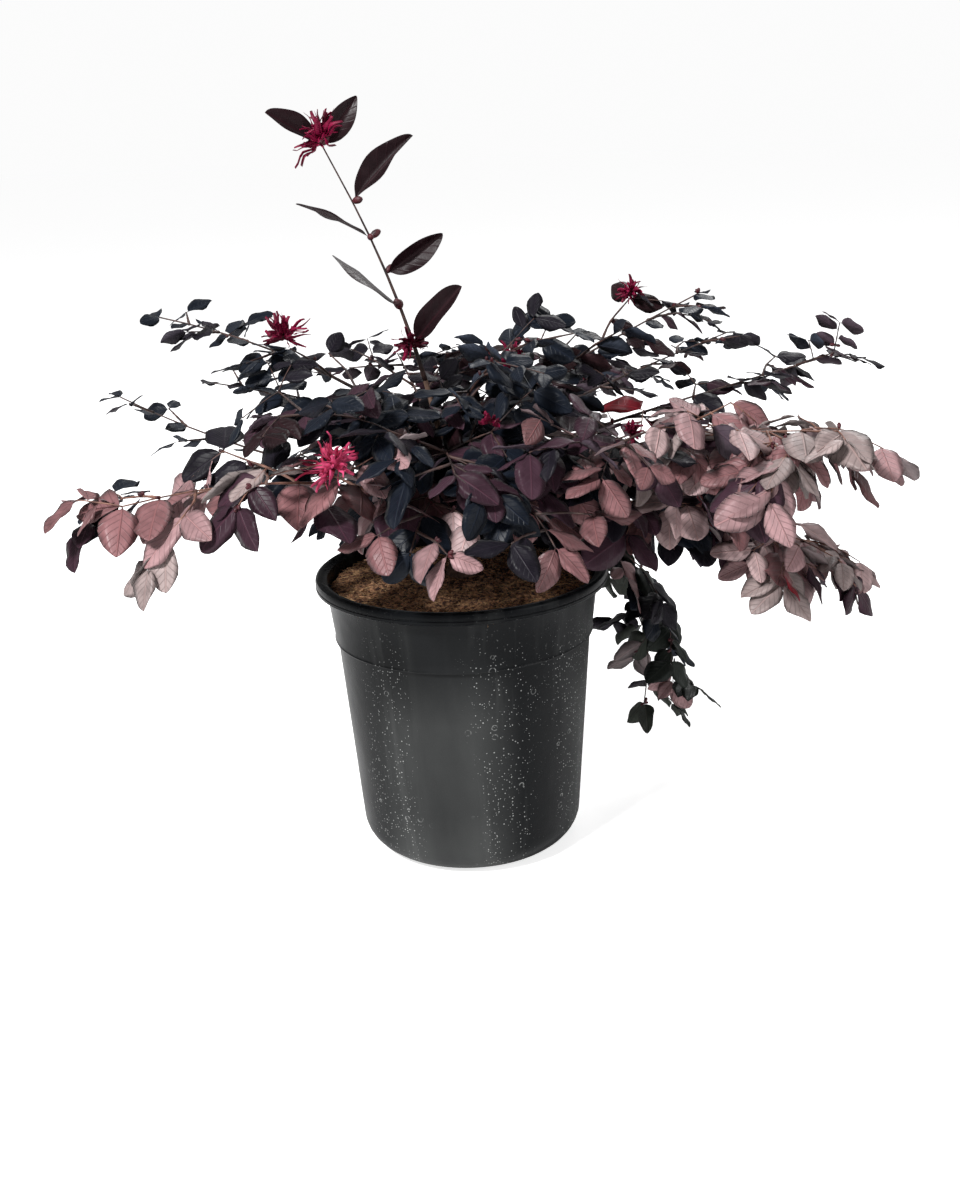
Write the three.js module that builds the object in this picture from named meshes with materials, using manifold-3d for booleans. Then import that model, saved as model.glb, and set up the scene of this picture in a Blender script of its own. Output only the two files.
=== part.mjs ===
// A young purple-leaved Chinese fringe flower in a round black nursery pot, about 54 cm tall.
// A short trunk stands on the potting mix, arching boughs leave it all round, and one thin leader rises well
// above the rest. Each bough runs bare for a stretch and then carries one loose mass of leafy twigs.
// Units are millimetres, +Z is up, -Y faces the viewer, and the origin is the middle of the pot's underside.
import * as THREE from "three";
import { mergeVertices } from "three/addons/utils/BufferGeometryUtils.js";
import Module from "manifold-3d";

const wasm = await Module();
wasm.setup();

// The pot: a 21 cm nursery container with a flanged rim, and a shallow step round its shoulder
const POT_HEIGHT = 208;
const RIM_RADIUS = 105;
const RIM_DEPTH = 9;
const RIM_OVERHANG = 7;
const RIM_EDGE = 2.4;
const SHOULDER_HEIGHT = 161;
const SHOULDER_RADIUS = 93.2;
const SHOULDER_STEP = 0.9;
const FOOT_RADIUS = 81.5;
const FOOT_ROUNDING = 22;
const ROUNDING_STEPS = 3;
const WALL = 2;
const FLOOR = 6;
const POT_SIDES = 30;
const DRAIN = { count: 4, radius: 4.5, circle: 44, sides: 8 };

// The potting mix fills the pot almost to the rim, and is heaped a little
const SOIL_TOP = 202;
const SOIL_SINK = 3;
const SOIL_FLAT = 16;
const SOIL_SIDES = 20;

// What touches in life stands this far apart
const CLEARANCE = 0.3;

// The trunk, measured up from the potting mix
const TRUNK = { height: 92, flare: 11, neck: 6.6, neckHeight: 14, top: 3.8, sides: 8, rings: 4 };
const LEAN = { x: -9, y: 3 };
const ROOT_LOBES = { count: 4, depth: 0.2 };

// Boughs, and the stems and twigs that carry on from them
const BOUGH = { base: 2.2, tip: 1.8, sides: 5, step: 30 };
const STEM = { sides: 4, tip: 1.1 };
const TWIG = { base: 1.1, tip: 0.9, sides: 3, gap: 21, zigzag: 9, sag: 4 };
const TWIG_LENGTHS = [0.75, 1.2];
const TWIG_LENGTH_ALONG_STEM = [1.15, 0.55];
const TWIG_SPREAD = [44, 72];
const TWIG_RISE = [-12, 28];
const TWIG_FOLLOWS_STEM = 0.5;

// Leaves are pointed ovals, folded along the midrib and fuller on one side. A rim is given in shares of the
// leaf's length and half width
const LEAF = { width: 0.6, fold: 0.12, thickness: 0.03, setBack: 3, outward: 0.5 };
const LEAF_RIM = [[0, 0], [0.32, 1], [0.76, 0.72], [1, 0], [0.46, -1]];
const LEAF_SPREAD = [42, 68];
const LEAF_LIFT = [-0.2, 0.3];
const LEAF_ROLL = [-35, 35];
const LEAF_CURL = [0.04, 0.2];
const LEAF_LENGTHS = [0.75, 1.15];
const LEAF_TRIES = [1, 0.82, 0.66];
const LARGE_LEAF = 45;

// A flower is a star of strap petals, cupped forward
const FLOWER = { petals: 5, length: 17, throat: 2.4, cup: 0.7, thickness: 1.2, twist: 0.3 };
const PETAL_LENGTHS = [0.7, 1.1];

// How far a leaf or twig stays from the boughs, and from the space of the next mass. Over the potting mix,
// over the rim and outside the pot it also stays above a height of its own
const WOOD_MARGIN = 3.2;
const SPACE_MARGIN = 1.6;
const OVER_SOIL = { radius: 85, height: 204.5 };
const OVER_RIM = { radius: 109, height: 211 };
const LOWEST = 10;

// Every limb leaves the trunk at a height, on a bearing (0 is right, -90 towards the viewer), and arches:
// climb is its slope in degrees at the trunk, where its leaves begin, and at its tip. bare and leafy are
// lengths, turn is how far the leafy part swings round, twig is the length of its longest side twigs and leaf
// that of its leaves. droop is how much they hang, gap is from one node to the next, and ranks turns the
// leaves' two ranks about the stem. blooms lists the nodes whose twigs end in a flower.
const LIMBS = [
  { name: "leader", height: 92, bearing: 196, turn: 8, climb: [80, 76, 62], bare: 50, leafy: 154,
    twig: 0, leaf: 52, droop: -0.1, gap: 27, ranks: 74, blooms: ["tip"] },
  { name: "upper_left", height: 84, bearing: 188, turn: -8, climb: [60, 38, 14], bare: 40, leafy: 180,
    twig: 46, leaf: 38, droop: 0.1, gap: 20, blooms: [5] },
  { name: "left", height: 51, bearing: 174, turn: 8, climb: [34, 10, 30], bare: 50, leafy: 196,
    twig: 54, leaf: 40, droop: 0.1, gap: 24, blooms: [] },
  { name: "left_behind", height: 63, bearing: 150, turn: 22, climb: [44, 26, 8], bare: 46, leafy: 154,
    twig: 58, leaf: 40, droop: 0.1, gap: 21, blooms: [] },
  { name: "low_left", height: 38, bearing: 220, turn: -12, climb: [42, 24, -6], bare: 46, leafy: 212,
    twig: 60, leaf: 52, droop: 0.4, gap: 23, blooms: [3] },
  { name: "front_left", height: 26, bearing: 262, turn: -12, climb: [68, 48, -44], bare: 30, leafy: 130,
    twig: 62, leaf: 40, droop: 0.4, gap: 16, blooms: [] },
  { name: "front_right", height: 44, bearing: 292, turn: 4, climb: [52, 32, -40], bare: 32, leafy: 136,
    twig: 62, leaf: 42, droop: 0.4, gap: 16, blooms: [] },
  { name: "middle_left", height: 70, bearing: 230, turn: -20, climb: [58, 40, 0], bare: 30, leafy: 130,
    twig: 60, leaf: 40, droop: 0.3, gap: 18, blooms: [] },
  { name: "middle", height: 62, bearing: 266, turn: 12, climb: [56, 36, -14], bare: 28, leafy: 118,
    twig: 60, leaf: 40, droop: 0.4, gap: 17, blooms: [] },
  { name: "middle_top", height: 81, bearing: 300, turn: 20, climb: [68, 60, 20], bare: 30, leafy: 104,
    twig: 58, leaf: 38, droop: 0.2, gap: 18, blooms: [3] },
  { name: "middle_right", height: 67, bearing: 322, turn: -6, climb: [44, 24, -8], bare: 32, leafy: 146,
    twig: 62, leaf: 42, droop: 0.4, gap: 17, blooms: [] },
  { name: "upper_right", height: 88, bearing: 2, turn: -10, climb: [54, 30, 26], bare: 36, leafy: 170,
    twig: 54, leaf: 38, droop: 0.2, gap: 20, blooms: ["tip"] },
  { name: "high_right", height: 73, bearing: 30, turn: -8, climb: [40, 16, 14], bare: 46, leafy: 210,
    twig: 54, leaf: 38, droop: 0.1, gap: 24, blooms: [] },
  { name: "far_right", height: 64, bearing: 12, turn: 2, climb: [30, 14, 10], bare: 50, leafy: 250,
    twig: 54, leaf: 42, droop: 0.2, gap: 27, blooms: [] },
  { name: "right", height: 54, bearing: 342, turn: -12, climb: [36, 18, 2], bare: 46, leafy: 228,
    twig: 62, leaf: 52, droop: 0.5, gap: 23, blooms: [4] },
  { name: "low_right", height: 34, bearing: 352, turn: -4, climb: [30, 6, -26], bare: 56, leafy: 218,
    twig: 58, leaf: 48, droop: 0.5, gap: 27, blooms: [] },
  { name: "hanging_right", height: 42, bearing: 26, turn: 6, climb: [30, -20, -104], bare: 64, leafy: 230,
    twig: 52, leaf: 44, droop: 0.4, gap: 28, blooms: [] },
  { name: "back_right", height: 60, bearing: 64, turn: -10, climb: [44, 22, -6], bare: 44, leafy: 190,
    twig: 64, leaf: 44, droop: 0.3, gap: 23, blooms: [4] },
  { name: "back", height: 48, bearing: 98, turn: 12, climb: [42, 18, -12], bare: 42, leafy: 184,
    twig: 64, leaf: 44, droop: 0.3, gap: 23, blooms: [] },
  { name: "middle_back", height: 77, bearing: 112, turn: -16, climb: [56, 38, 0], bare: 30, leafy: 128,
    twig: 60, leaf: 40, droop: 0.3, gap: 19, blooms: [] },
  { name: "back_left", height: 30, bearing: 134, turn: 10, climb: [42, 16, -16], bare: 46, leafy: 182,
    twig: 60, leaf: 44, droop: 0.3, gap: 23, blooms: [] },
];

const COLOURS = {
  pot: [0x1c1e20, 0.42],
  soil: [0x4a3122, 0.95],
  bark: [0x5b4436, 0.85],
  shaded: [0x2c2230, 0.7],
  sunlit: [0x8a5a60, 0.7],
};

const { lerp, degToRad } = THREE.MathUtils;
const UP = new THREE.Vector3(0, 0, 1);
const mix = ([from, to], share) => lerp(from, to, share);

// The same seed always gives the same run of numbers from 0 to 1
function seeded(seed) {
  let state = seed * 7919;
  return () => {
    state = (state * 48271) % 2147483647;
    return state / 2147483647;
  };
}

// Closed meshes are joined and cut as solids, and go back to a BufferGeometry at the end
function solidOfMesh(positions, faces) {
  const vertProperties = new Float32Array(positions);
  const triVerts = new Uint32Array(faces);
  return new wasm.Manifold(new wasm.Mesh({ numProp: 3, vertProperties, triVerts }));
}

function solidOfGeometry(geometry) {
  geometry.deleteAttribute("normal");
  geometry.deleteAttribute("uv");
  const merged = mergeVertices(geometry, 1e-4);
  return solidOfMesh(merged.attributes.position.array, merged.index.array);
}

function joined(solids) {
  return solids.reduce((whole, next) => whole.add(next));
}

// Joining leaves can seal a small hollow or cut off a scrap, so only the largest closed shell is kept
function largestShell({ vertProperties, triVerts }) {
  const parents = Array.from({ length: vertProperties.length / 3 }, (_, vertex) => vertex);
  const shellOf = (vertex) => {
    let root = vertex;
    while (parents[root] !== root) root = parents[root];
    parents[vertex] = root;
    return root;
  };
  for (let i = 0; i < triVerts.length; i += 3) {
    parents[shellOf(triVerts[i + 1])] = shellOf(triVerts[i]);
    parents[shellOf(triVerts[i + 2])] = shellOf(triVerts[i]);
  }
  const shells = new Map();
  for (let i = 0; i < triVerts.length; i += 3) {
    const root = shellOf(triVerts[i]);
    if (!shells.has(root)) shells.set(root, []);
    shells.get(root).push(triVerts[i], triVerts[i + 1], triVerts[i + 2]);
  }
  return [...shells.values()].reduce((most, shell) => (shell.length > most.length ? shell : most));
}

function geometryOfSolid(solid) {
  const mesh = solid.getMesh();
  const geometry = new THREE.BufferGeometry();
  geometry.setAttribute("position", new THREE.BufferAttribute(mesh.vertProperties, 3));
  geometry.setIndex(largestShell(mesh));
  geometry.computeVertexNormals();
  return geometry;
}

// A profile of [radius, height] pairs, from the axis round to the axis, turned into a solid about Z
function turned(profile, sides) {
  const points = profile.map(([radius, height]) => new THREE.Vector2(radius, height));
  return new THREE.LatheGeometry(points, sides).rotateX(Math.PI / 2);
}

// A closed tube with one ring at each point of the run, as wide there as its radius says
function tube({ points, radii }, sides, lobes = () => 1) {
  const positions = [];
  const faces = [];
  const across = new THREE.Vector3(0.8, 0.6, 0);
  points.forEach((point, ring) => {
    const before = points[Math.max(ring - 1, 0)];
    const after = points[Math.min(ring + 1, points.length - 1)];
    const along = after.clone().sub(before).normalize();
    across.addScaledVector(along, -across.dot(along)).normalize();
    const third = along.clone().cross(across);
    for (let side = 0; side < sides; side += 1) {
      const angle = (2 * Math.PI * side) / sides;
      const radius = radii[ring] * lobes(ring, angle);
      const vertex = point.clone();
      vertex.addScaledVector(across, radius * Math.cos(angle));
      vertex.addScaledVector(third, radius * Math.sin(angle));
      positions.push(...vertex.toArray());
    }
  });
  for (let ring = 0; ring + 1 < points.length; ring += 1) {
    for (let side = 0; side < sides; side += 1) {
      const a = ring * sides + side;
      const b = ring * sides + ((side + 1) % sides);
      faces.push(a, b, b + sides, a, b + sides, a + sides);
    }
  }
  const last = (points.length - 1) * sides;
  for (let side = 1; side + 1 < sides; side += 1) {
    faces.push(0, side + 1, side, last, last + side, last + side + 1);
  }
  return solidOfMesh(positions, faces);
}

// A thin closed blade: its rim, and one point above and one below its middle
function blade(rim, above, below) {
  const faces = [];
  rim.forEach((_, point) => {
    const next = (point + 1) % rim.length;
    faces.push(point, next, rim.length, next, point, rim.length + 1);
  });
  return solidOfMesh([...rim, above, below].flatMap((point) => point.toArray()), faces);
}

function heading(bearing, climb) {
  const turn = degToRad(bearing);
  const rise = degToRad(climb);
  return new THREE.Vector3(Math.cos(rise) * Math.cos(turn), Math.cos(rise) * Math.sin(turn), Math.sin(rise));
}

// Points along a run that turns evenly from its first heading to its last
function arch(start, bearings, climbs, length, steps) {
  const points = [start.clone()];
  for (let step = 0; step < steps; step += 1) {
    const share = (step + 0.5) / steps;
    const way = heading(mix(bearings, share), mix(climbs, share));
    points.push(points[step].clone().addScaledVector(way, length / steps));
  }
  return points;
}

function tapered(points, base, tip) {
  return { points, radii: points.map((_, ring) => lerp(base, tip, ring / (points.length - 1))) };
}

// The container
function potSolid() {
  const neck = RIM_RADIUS - RIM_OVERHANG;
  const foot = FOOT_RADIUS - FOOT_ROUNDING;
  const outside = [];
  const inside = [];
  for (let step = 0; step <= ROUNDING_STEPS; step += 1) {
    const angle = (Math.PI / 2) * (step / ROUNDING_STEPS);
    const inner = FOOT_ROUNDING - WALL;
    outside.push([foot + FOOT_ROUNDING * Math.sin(angle), FOOT_ROUNDING * (1 - Math.cos(angle))]);
    const height = FOOT_ROUNDING - inner * Math.cos(angle);
    if (height > FLOOR) inside.unshift([foot + inner * Math.sin(angle), height]);
  }
  const profile = [
    [0, 0],
    ...outside,
    [SHOULDER_RADIUS - SHOULDER_STEP, SHOULDER_HEIGHT],
    [SHOULDER_RADIUS, SHOULDER_HEIGHT + SHOULDER_STEP],
    [neck, POT_HEIGHT - RIM_DEPTH],
    [RIM_RADIUS, POT_HEIGHT - RIM_DEPTH],
    [RIM_RADIUS, POT_HEIGHT - RIM_EDGE],
    [RIM_RADIUS - RIM_EDGE, POT_HEIGHT],
    [neck - WALL, POT_HEIGHT - RIM_EDGE],
    [SHOULDER_RADIUS - WALL, SHOULDER_HEIGHT],
    ...inside,
    [inside.at(-1)[0] - WALL, FLOOR],
    [0, FLOOR],
  ];
  let pot = solidOfGeometry(turned(profile, POT_SIDES));
  for (let hole = 0; hole < DRAIN.count; hole += 1) {
    const angle = (2 * Math.PI * hole) / DRAIN.count;
    const drill = new THREE.CylinderGeometry(DRAIN.radius, DRAIN.radius, 3 * FLOOR, DRAIN.sides);
    drill.rotateX(Math.PI / 2);
    drill.translate(DRAIN.circle * Math.cos(angle), DRAIN.circle * Math.sin(angle), FLOOR);
    pot = pot.subtract(solidOfGeometry(drill));
  }
  return pot;
}

// The potting mix, a plug that stands clear of the wall all round
function soilSolid() {
  const neck = RIM_RADIUS - RIM_OVERHANG;
  const edge = SOIL_TOP - SOIL_SINK;
  const share = (edge - SHOULDER_HEIGHT) / (POT_HEIGHT - RIM_EDGE - SHOULDER_HEIGHT);
  const gap = WALL + 2 * CLEARANCE;
  const profile = [
    [0, FLOOR + CLEARANCE],
    [FOOT_RADIUS - FOOT_ROUNDING, FLOOR + CLEARANCE],
    [FOOT_RADIUS - gap - 1, FOOT_ROUNDING + CLEARANCE],
    [SHOULDER_RADIUS - gap - 1, SHOULDER_HEIGHT],
    [lerp(SHOULDER_RADIUS, neck, share) - gap, edge],
    [(SHOULDER_RADIUS + SOIL_FLAT) / 2, SOIL_TOP - SOIL_SINK / 4],
    [SOIL_FLAT, SOIL_TOP],
    [0, SOIL_TOP],
  ];
  return solidOfGeometry(turned(profile, SOIL_SIDES));
}

function trunkPoint(height) {
  const share = height / TRUNK.height;
  return new THREE.Vector3(LEAN.x * share * share, LEAN.y * share * share, height);
}

// The trunk from its flat foot to its top, with the root flare, and wider by extra all over
function trunkSolid(extra) {
  const heights = [0, TRUNK.neckHeight / 4, TRUNK.neckHeight / 2];
  for (let ring = 0; ring <= TRUNK.rings; ring += 1) {
    heights.push(lerp(TRUNK.neckHeight, TRUNK.height, ring / TRUNK.rings));
  }
  if (extra > 0) heights.push(TRUNK.height + extra);
  const low = heights.map((height) => Math.max(0, 1 - height / TRUNK.neckHeight));
  const radii = heights.map((height, ring) => {
    const flare = (TRUNK.flare - TRUNK.neck) * low[ring] * low[ring];
    return lerp(TRUNK.neck, TRUNK.top, height / TRUNK.height) + flare + extra;
  });
  const lobes = (ring, angle) => 1 + ROOT_LOBES.depth * low[ring] * Math.cos(ROOT_LOBES.count * angle);
  return tube({ points: heights.map(trunkPoint), radii }, TRUNK.sides, lobes);
}

// A limb's bare bough, and the stem of its mass, which carries straight on from the bough's tip
function limbRuns(limb) {
  const [atTrunk, atLeaves, atTip] = limb.climb;
  const start = trunkPoint(limb.height);
  const boughSteps = Math.round(limb.bare / BOUGH.step) + 1;
  const bough = arch(start, [limb.bearing, limb.bearing], [atTrunk, atLeaves], limb.bare, boughSteps);
  const foot = bough.at(-1).clone().addScaledVector(heading(limb.bearing, atLeaves), CLEARANCE);
  const nodes = Math.round(limb.leafy / limb.gap);
  const stem = arch(foot, [limb.bearing, limb.bearing + limb.turn], [atLeaves, atTip], limb.leafy, nodes);
  return { bough: tapered(bough, BOUGH.base, BOUGH.tip), stem: tapered(stem, BOUGH.tip, STEM.tip) };
}

// How far a point is from the middle of a run, or from its surface
const closest = new THREE.Vector3();
const segment = new THREE.Line3();
function distanceTo(run, point, surface) {
  let least = Infinity;
  for (let i = 0; i + 1 < run.points.length; i += 1) {
    segment.set(run.points[i], run.points[i + 1]);
    const share = segment.closestPointToPointParameter(point, true);
    const radius = surface ? lerp(run.radii[i], run.radii[i + 1], share) : 0;
    least = Math.min(least, segment.at(share, closest).distanceTo(point) - radius);
  }
  return least;
}

// Over the pot a leaf stays above the potting mix and the rim, and outside it clear of the wall
function clearOfPot(point) {
  const height = point.z + SOIL_TOP + CLEARANCE;
  const radius = Math.hypot(point.x, point.y);
  if (radius < OVER_SOIL.radius) return height > OVER_SOIL.height;
  if (radius < OVER_RIM.radius) return height > OVER_RIM.height;
  return height > LOWEST;
}

// A mass keeps to the space that lies nearer to its own stem than to any other's, clear of the boughs
function hasRoom(point, owner, limbs, wood) {
  if (!clearOfPot(point)) return false;
  if (wood.some((run) => distanceTo(run, point, true) < WOOD_MARGIN)) return false;
  const own = distanceTo(owner.stem, point, false);
  return limbs.every((other) => other === owner || distanceTo(other.stem, point, false) > own + SPACE_MARGIN);
}

// Side twigs leave the stem left and right by turns. Each zigzags from node to node, sags a little, and ends
// where it would leave the mass's own space
function sideTwigs(limb, room) {
  const nodes = limb.stem.points.length - 1;
  const twigs = [];
  for (let node = 1; node < nodes && limb.twig > 0; node += 1) {
    const rand = seeded(limb.seed + node);
    const share = node / nodes;
    let side = node % 2 ? 1 : -1;
    const length = limb.twig * mix(TWIG_LENGTH_ALONG_STEM, share) * mix(TWIG_LENGTHS, rand());
    const bearing = limb.bearing + limb.turn * share + side * mix(TWIG_SPREAD, rand());
    const climb = TWIG_FOLLOWS_STEM * mix([limb.climb[1], limb.climb[2]], share) + mix(TWIG_RISE, rand());
    const steps = Math.max(1, Math.round(length / TWIG.gap));
    const points = [limb.stem.points[node]];
    for (let step = 1; step <= steps; step += 1) {
      const way = heading(bearing + TWIG.zigzag * side, climb - TWIG.sag * step);
      const last = points.at(-1);
      const next = last.clone().addScaledVector(way, length / steps);
      if (!room(next) || !room(last.clone().lerp(next, 0.5))) break;
      points.push(next);
      side = -side;
    }
    if (points.length > 1) {
      const bloom = limb.blooms.includes(node);
      twigs.push({ run: tapered(points, TWIG.base, TWIG.tip), rand, side, bloom });
    }
  }
  return twigs;
}

// Which way the leaves along a twig face: up on a level twig, outwards on a steep one, then turned by ranks
function faceOf(point, along, ranks = 0) {
  const face = new THREE.Vector3(point.x, point.y, 0).normalize().multiplyScalar(LEAF.outward).add(UP);
  return face.addScaledVector(along, -face.dot(along)).normalize().applyAxisAngle(along, degToRad(ranks));
}

// A leaf's rim from its root round to its tip and back, and the points above and below its middle
function leafPoints(root, axis, face, length, curl) {
  const across = axis.clone().cross(face).normalize();
  const at = (share, half, rise = 0) => {
    const lift = LEAF.fold * LEAF.width * Math.abs(half) - curl * share * share + rise;
    const point = root.clone().addScaledVector(axis, share * length).addScaledVector(face, lift * length);
    return point.addScaledVector(across, 0.5 * LEAF.width * half * length);
  };
  const rim = LEAF_RIM.map(([share, half]) => at(share, half));
  return { rim, above: at(0.5, 0, LEAF.thickness / 2), below: at(0.5, 0, -LEAF.thickness / 2) };
}

// A leaf leaves its node to one side, droops, and is tried smaller where it hasn't the room
function leafSolid(node, along, side, { leaf: size, droop, ranks }, rand, fits) {
  const face = faceOf(node, along, ranks);
  const spread = degToRad(mix(LEAF_SPREAD, rand()));
  const axis = along.clone().multiplyScalar(Math.cos(spread));
  axis.addScaledVector(along.clone().cross(face), side * Math.sin(spread));
  axis.addScaledVector(face, mix(LEAF_LIFT, rand()));
  axis.z -= droop;
  axis.normalize();
  face.addScaledVector(axis, -face.dot(axis)).normalize();
  face.applyAxisAngle(axis, degToRad(mix(LEAF_ROLL, rand())));
  const full = size * mix(LEAF_LENGTHS, rand());
  const curl = mix(LEAF_CURL, rand());
  const root = node.clone().addScaledVector(along, -LEAF.setBack);
  for (const share of LEAF_TRIES) {
    const { rim, above, below } = leafPoints(root, axis, face, full * share, curl);
    const halfway = rim.slice(1).map((point) => point.clone().lerp(above, 0.5));
    const leaf = blade(rim, above, below);
    if (fits([...rim.slice(1), ...halfway, above], leaf)) return leaf;
  }
  return null;
}

function flowerSolid(node, along, rand) {
  const first = new THREE.Vector3(0.6, 0.8, 0).cross(along).normalize();
  const second = along.clone().cross(first);
  const rim = [];
  for (let point = 0; point < 2 * FLOWER.petals; point += 1) {
    const angle = (Math.PI * point) / FLOWER.petals + FLOWER.twist * rand();
    const reach = point % 2 ? FLOWER.throat : FLOWER.length * mix(PETAL_LENGTHS, rand());
    const place = node.clone().addScaledVector(along, FLOWER.cup * reach);
    place.addScaledVector(first, reach * Math.cos(angle)).addScaledVector(second, reach * Math.sin(angle));
    rim.push(place);
  }
  const above = node.clone().addScaledVector(along, FLOWER.thickness);
  return blade(rim, above, node.clone().addScaledVector(along, -FLOWER.thickness));
}

// One mass: the stem, its side twigs, a leaf at every node, two leaves at every end, and the flowers. A leaf
// crosses no other leaf and no twig but its own, and a side twig that holds no leaf is left off
function massSolid(limb, limbs, wood) {
  const room = (point) => hasRoom(point, limb, limbs, wood);
  const main = { run: limb.stem, rand: seeded(limb.seed), side: 1, bloom: limb.blooms.includes("tip") };
  const twigs = [main, ...sideTwigs(limb, room)];
  const tubes = twigs.map(({ run }) => tube(run, run === limb.stem ? STEM.sides : TWIG.sides));
  const leaves = [];
  const solids = [];
  twigs.forEach(({ run, rand, side, bloom }, own) => {
    const { points } = run;
    const end = points.length - 1;
    const others = tubes.filter((_, twig) => twig !== own);
    const fits = (spots, leaf) => {
      return spots.every(room) && [...others, ...leaves].every((other) => leaf.intersect(other).isEmpty());
    };
    const before = leaves.length;
    for (let node = 1; node <= end; node += 1) {
      const along = points[node].clone().sub(points[node - 1]).normalize();
      const hand = node % 2 ? side : -side;
      const hands = node === end ? [hand, -hand] : [hand];
      hands.forEach((turn) => {
        const leaf = leafSolid(points[node], along, turn, limb, rand, fits);
        if (leaf) leaves.push(leaf);
      });
    }
    if (leaves.length > before) solids.push(tubes[own]);
    if (leaves.length > before && bloom) {
      solids.push(flowerSolid(points[end], points[end].clone().sub(points[end - 1]).normalize(), rand));
    }
  });
  return joined([...solids, ...leaves]);
}

function part(name, solid, [colour, roughness]) {
  const material = new THREE.MeshStandardMaterial({ color: colour, roughness, metalness: 0 });
  const mesh = new THREE.Mesh(geometryOfSolid(solid), material);
  mesh.name = name;
  return mesh;
}

const container = new THREE.Group();
container.add(part("pot", potSolid(), COLOURS.pot), part("potting_mix", soilSolid(), COLOURS.soil));

// The plant is measured up from the potting mix, so its group stands on it
const plant = new THREE.Group();
plant.position.set(0, 0, SOIL_TOP + CLEARANCE);
plant.add(part("trunk", trunkSolid(0), COLOURS.bark));

const limbs = LIMBS.map((limb, index) => ({ ...limb, ...limbRuns(limb), seed: 1000 * (index + 1) }));
const trunkMiddle = [0, TRUNK.height / 2, TRUNK.height].map(trunkPoint);
const trunkRun = tapered(trunkMiddle, TRUNK.neck, TRUNK.top);
const wood = [trunkRun, ...limbs.map((limb) => limb.bough)];
const socket = trunkSolid(CLEARANCE);
limbs.forEach((limb) => {
  const leaves = limb.leaf > LARGE_LEAF ? COLOURS.sunlit : COLOURS.shaded;
  plant.add(part(`bough_${limb.name}`, tube(limb.bough, BOUGH.sides).subtract(socket), COLOURS.bark));
  plant.add(part(`foliage_${limb.name}`, massSolid(limb, limbs, wood), leaves));
});

const pottedShrub = new THREE.Group();
pottedShrub.add(container, plant);

export default pottedShrub;
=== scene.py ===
"""A young purple-leaved Chinese fringe flower in a round black nursery pot, dressed over its CAD frame.

The solids give the pot, the potting mix, the trunk, the boughs and one mass of foliage a limb. Here the
masses are grown again from the same limbs, by the same rule, and carried on to finer twigs. Sizes are in
millimetres until a mesh is made.
"""
import bpy
import math
import numpy as np
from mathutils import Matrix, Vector, noise
from types import SimpleNamespace


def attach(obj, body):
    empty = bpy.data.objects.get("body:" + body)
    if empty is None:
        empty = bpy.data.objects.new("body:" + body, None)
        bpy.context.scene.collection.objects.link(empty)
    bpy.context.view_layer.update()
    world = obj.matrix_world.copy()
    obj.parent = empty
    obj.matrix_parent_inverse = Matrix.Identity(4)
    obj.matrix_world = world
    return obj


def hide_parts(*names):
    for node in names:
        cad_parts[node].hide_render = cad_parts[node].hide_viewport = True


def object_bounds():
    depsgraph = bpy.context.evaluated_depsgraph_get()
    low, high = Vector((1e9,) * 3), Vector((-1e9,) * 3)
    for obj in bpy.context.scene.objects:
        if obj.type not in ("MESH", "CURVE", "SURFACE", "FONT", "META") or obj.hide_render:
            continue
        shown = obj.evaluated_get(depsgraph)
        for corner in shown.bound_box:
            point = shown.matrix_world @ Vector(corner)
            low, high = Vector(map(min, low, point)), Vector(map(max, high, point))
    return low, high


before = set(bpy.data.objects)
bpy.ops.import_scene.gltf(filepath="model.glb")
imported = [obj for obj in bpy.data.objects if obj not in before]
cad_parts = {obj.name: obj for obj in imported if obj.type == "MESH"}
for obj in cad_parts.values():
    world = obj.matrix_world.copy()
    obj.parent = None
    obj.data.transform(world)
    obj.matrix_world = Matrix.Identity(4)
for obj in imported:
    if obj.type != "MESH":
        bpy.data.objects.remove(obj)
cad_low, cad_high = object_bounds()


# The pot
# A thin-walled nursery container, moulded in black polypropylene with a flanged rim, a faint step round its
# shoulder and drain holes in its floor. Hard water has dried on it in runs of pale specks.
POT_SIDES = 144
POT_HEIGHT = 208
SHOULDER_RADIUS = 93.2
SHOULDER_HEIGHT = 161
# Each turn of the outline as radius and height, counted from the shoulder
SHOULDER_STEP = ((-1.6, -0.6), (-1.5, 0), (0.4, 0.2), (0.7, 0.9), (0.4, 1.6), (0.2, 2.8))
# The same for the rim, with the height counted from its top
RIM = (
    (97.4, -10.6), (98.4, -9), (103.8, -9), (105, -8), (105, -6.2), (104.5, -5.8), (104.5, -5.3), (105, -4.9),
    (105, -3), (104.4, -1.2), (102.8, 0), (101, 0), (98.6, -0.8), (96.6, -2.6), (96, -5),
)
FOOT_RADIUS = 81.5
FOOT_ROUNDING = 22
FOOT_STEPS = 8
WALL = 2
POT_FLOOR = 6
DRAIN_HOLES = 4
DRAIN_RADIUS = 4.5
DRAIN_CIRCLE = 44
PLASTIC = (0.0042, 0.0048, 0.0057, 1)
LIMESCALE = (0.42, 0.43, 0.42, 1)
# Middle and half width of each upright band, in metres
WET_COLUMNS = ((-0.058, 0.026), (0.022, 0.022), (0.083, 0.024))
# The dust columns thicken the film: part dust, part painted light for the sunlit bands of the wall
DUST_AND_LIGHT_COLUMNS = ((-0.02, 0.056), (0.09, 0.026))
# Height where each band of dried film begins and where it is full, in metres, and how pale it is there
FILM_BANDS = ((0.199, 0.197, 0.01), (0.168, 0.12, 0.046), (0.05, 0.0, 0.04))
SPECK_SCALE = 600.0
SPECK_SIZES = (0.02, 0.3)
DROP_SCALE = 110.0
DROP_CHANCE = 0.84
DROP_SIZES = (0.1, 0.26)


def deselect():
    if bpy.context.object and bpy.context.object.mode != "OBJECT":
        bpy.ops.object.mode_set(mode="OBJECT")
    bpy.ops.object.select_all(action="DESELECT")


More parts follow.
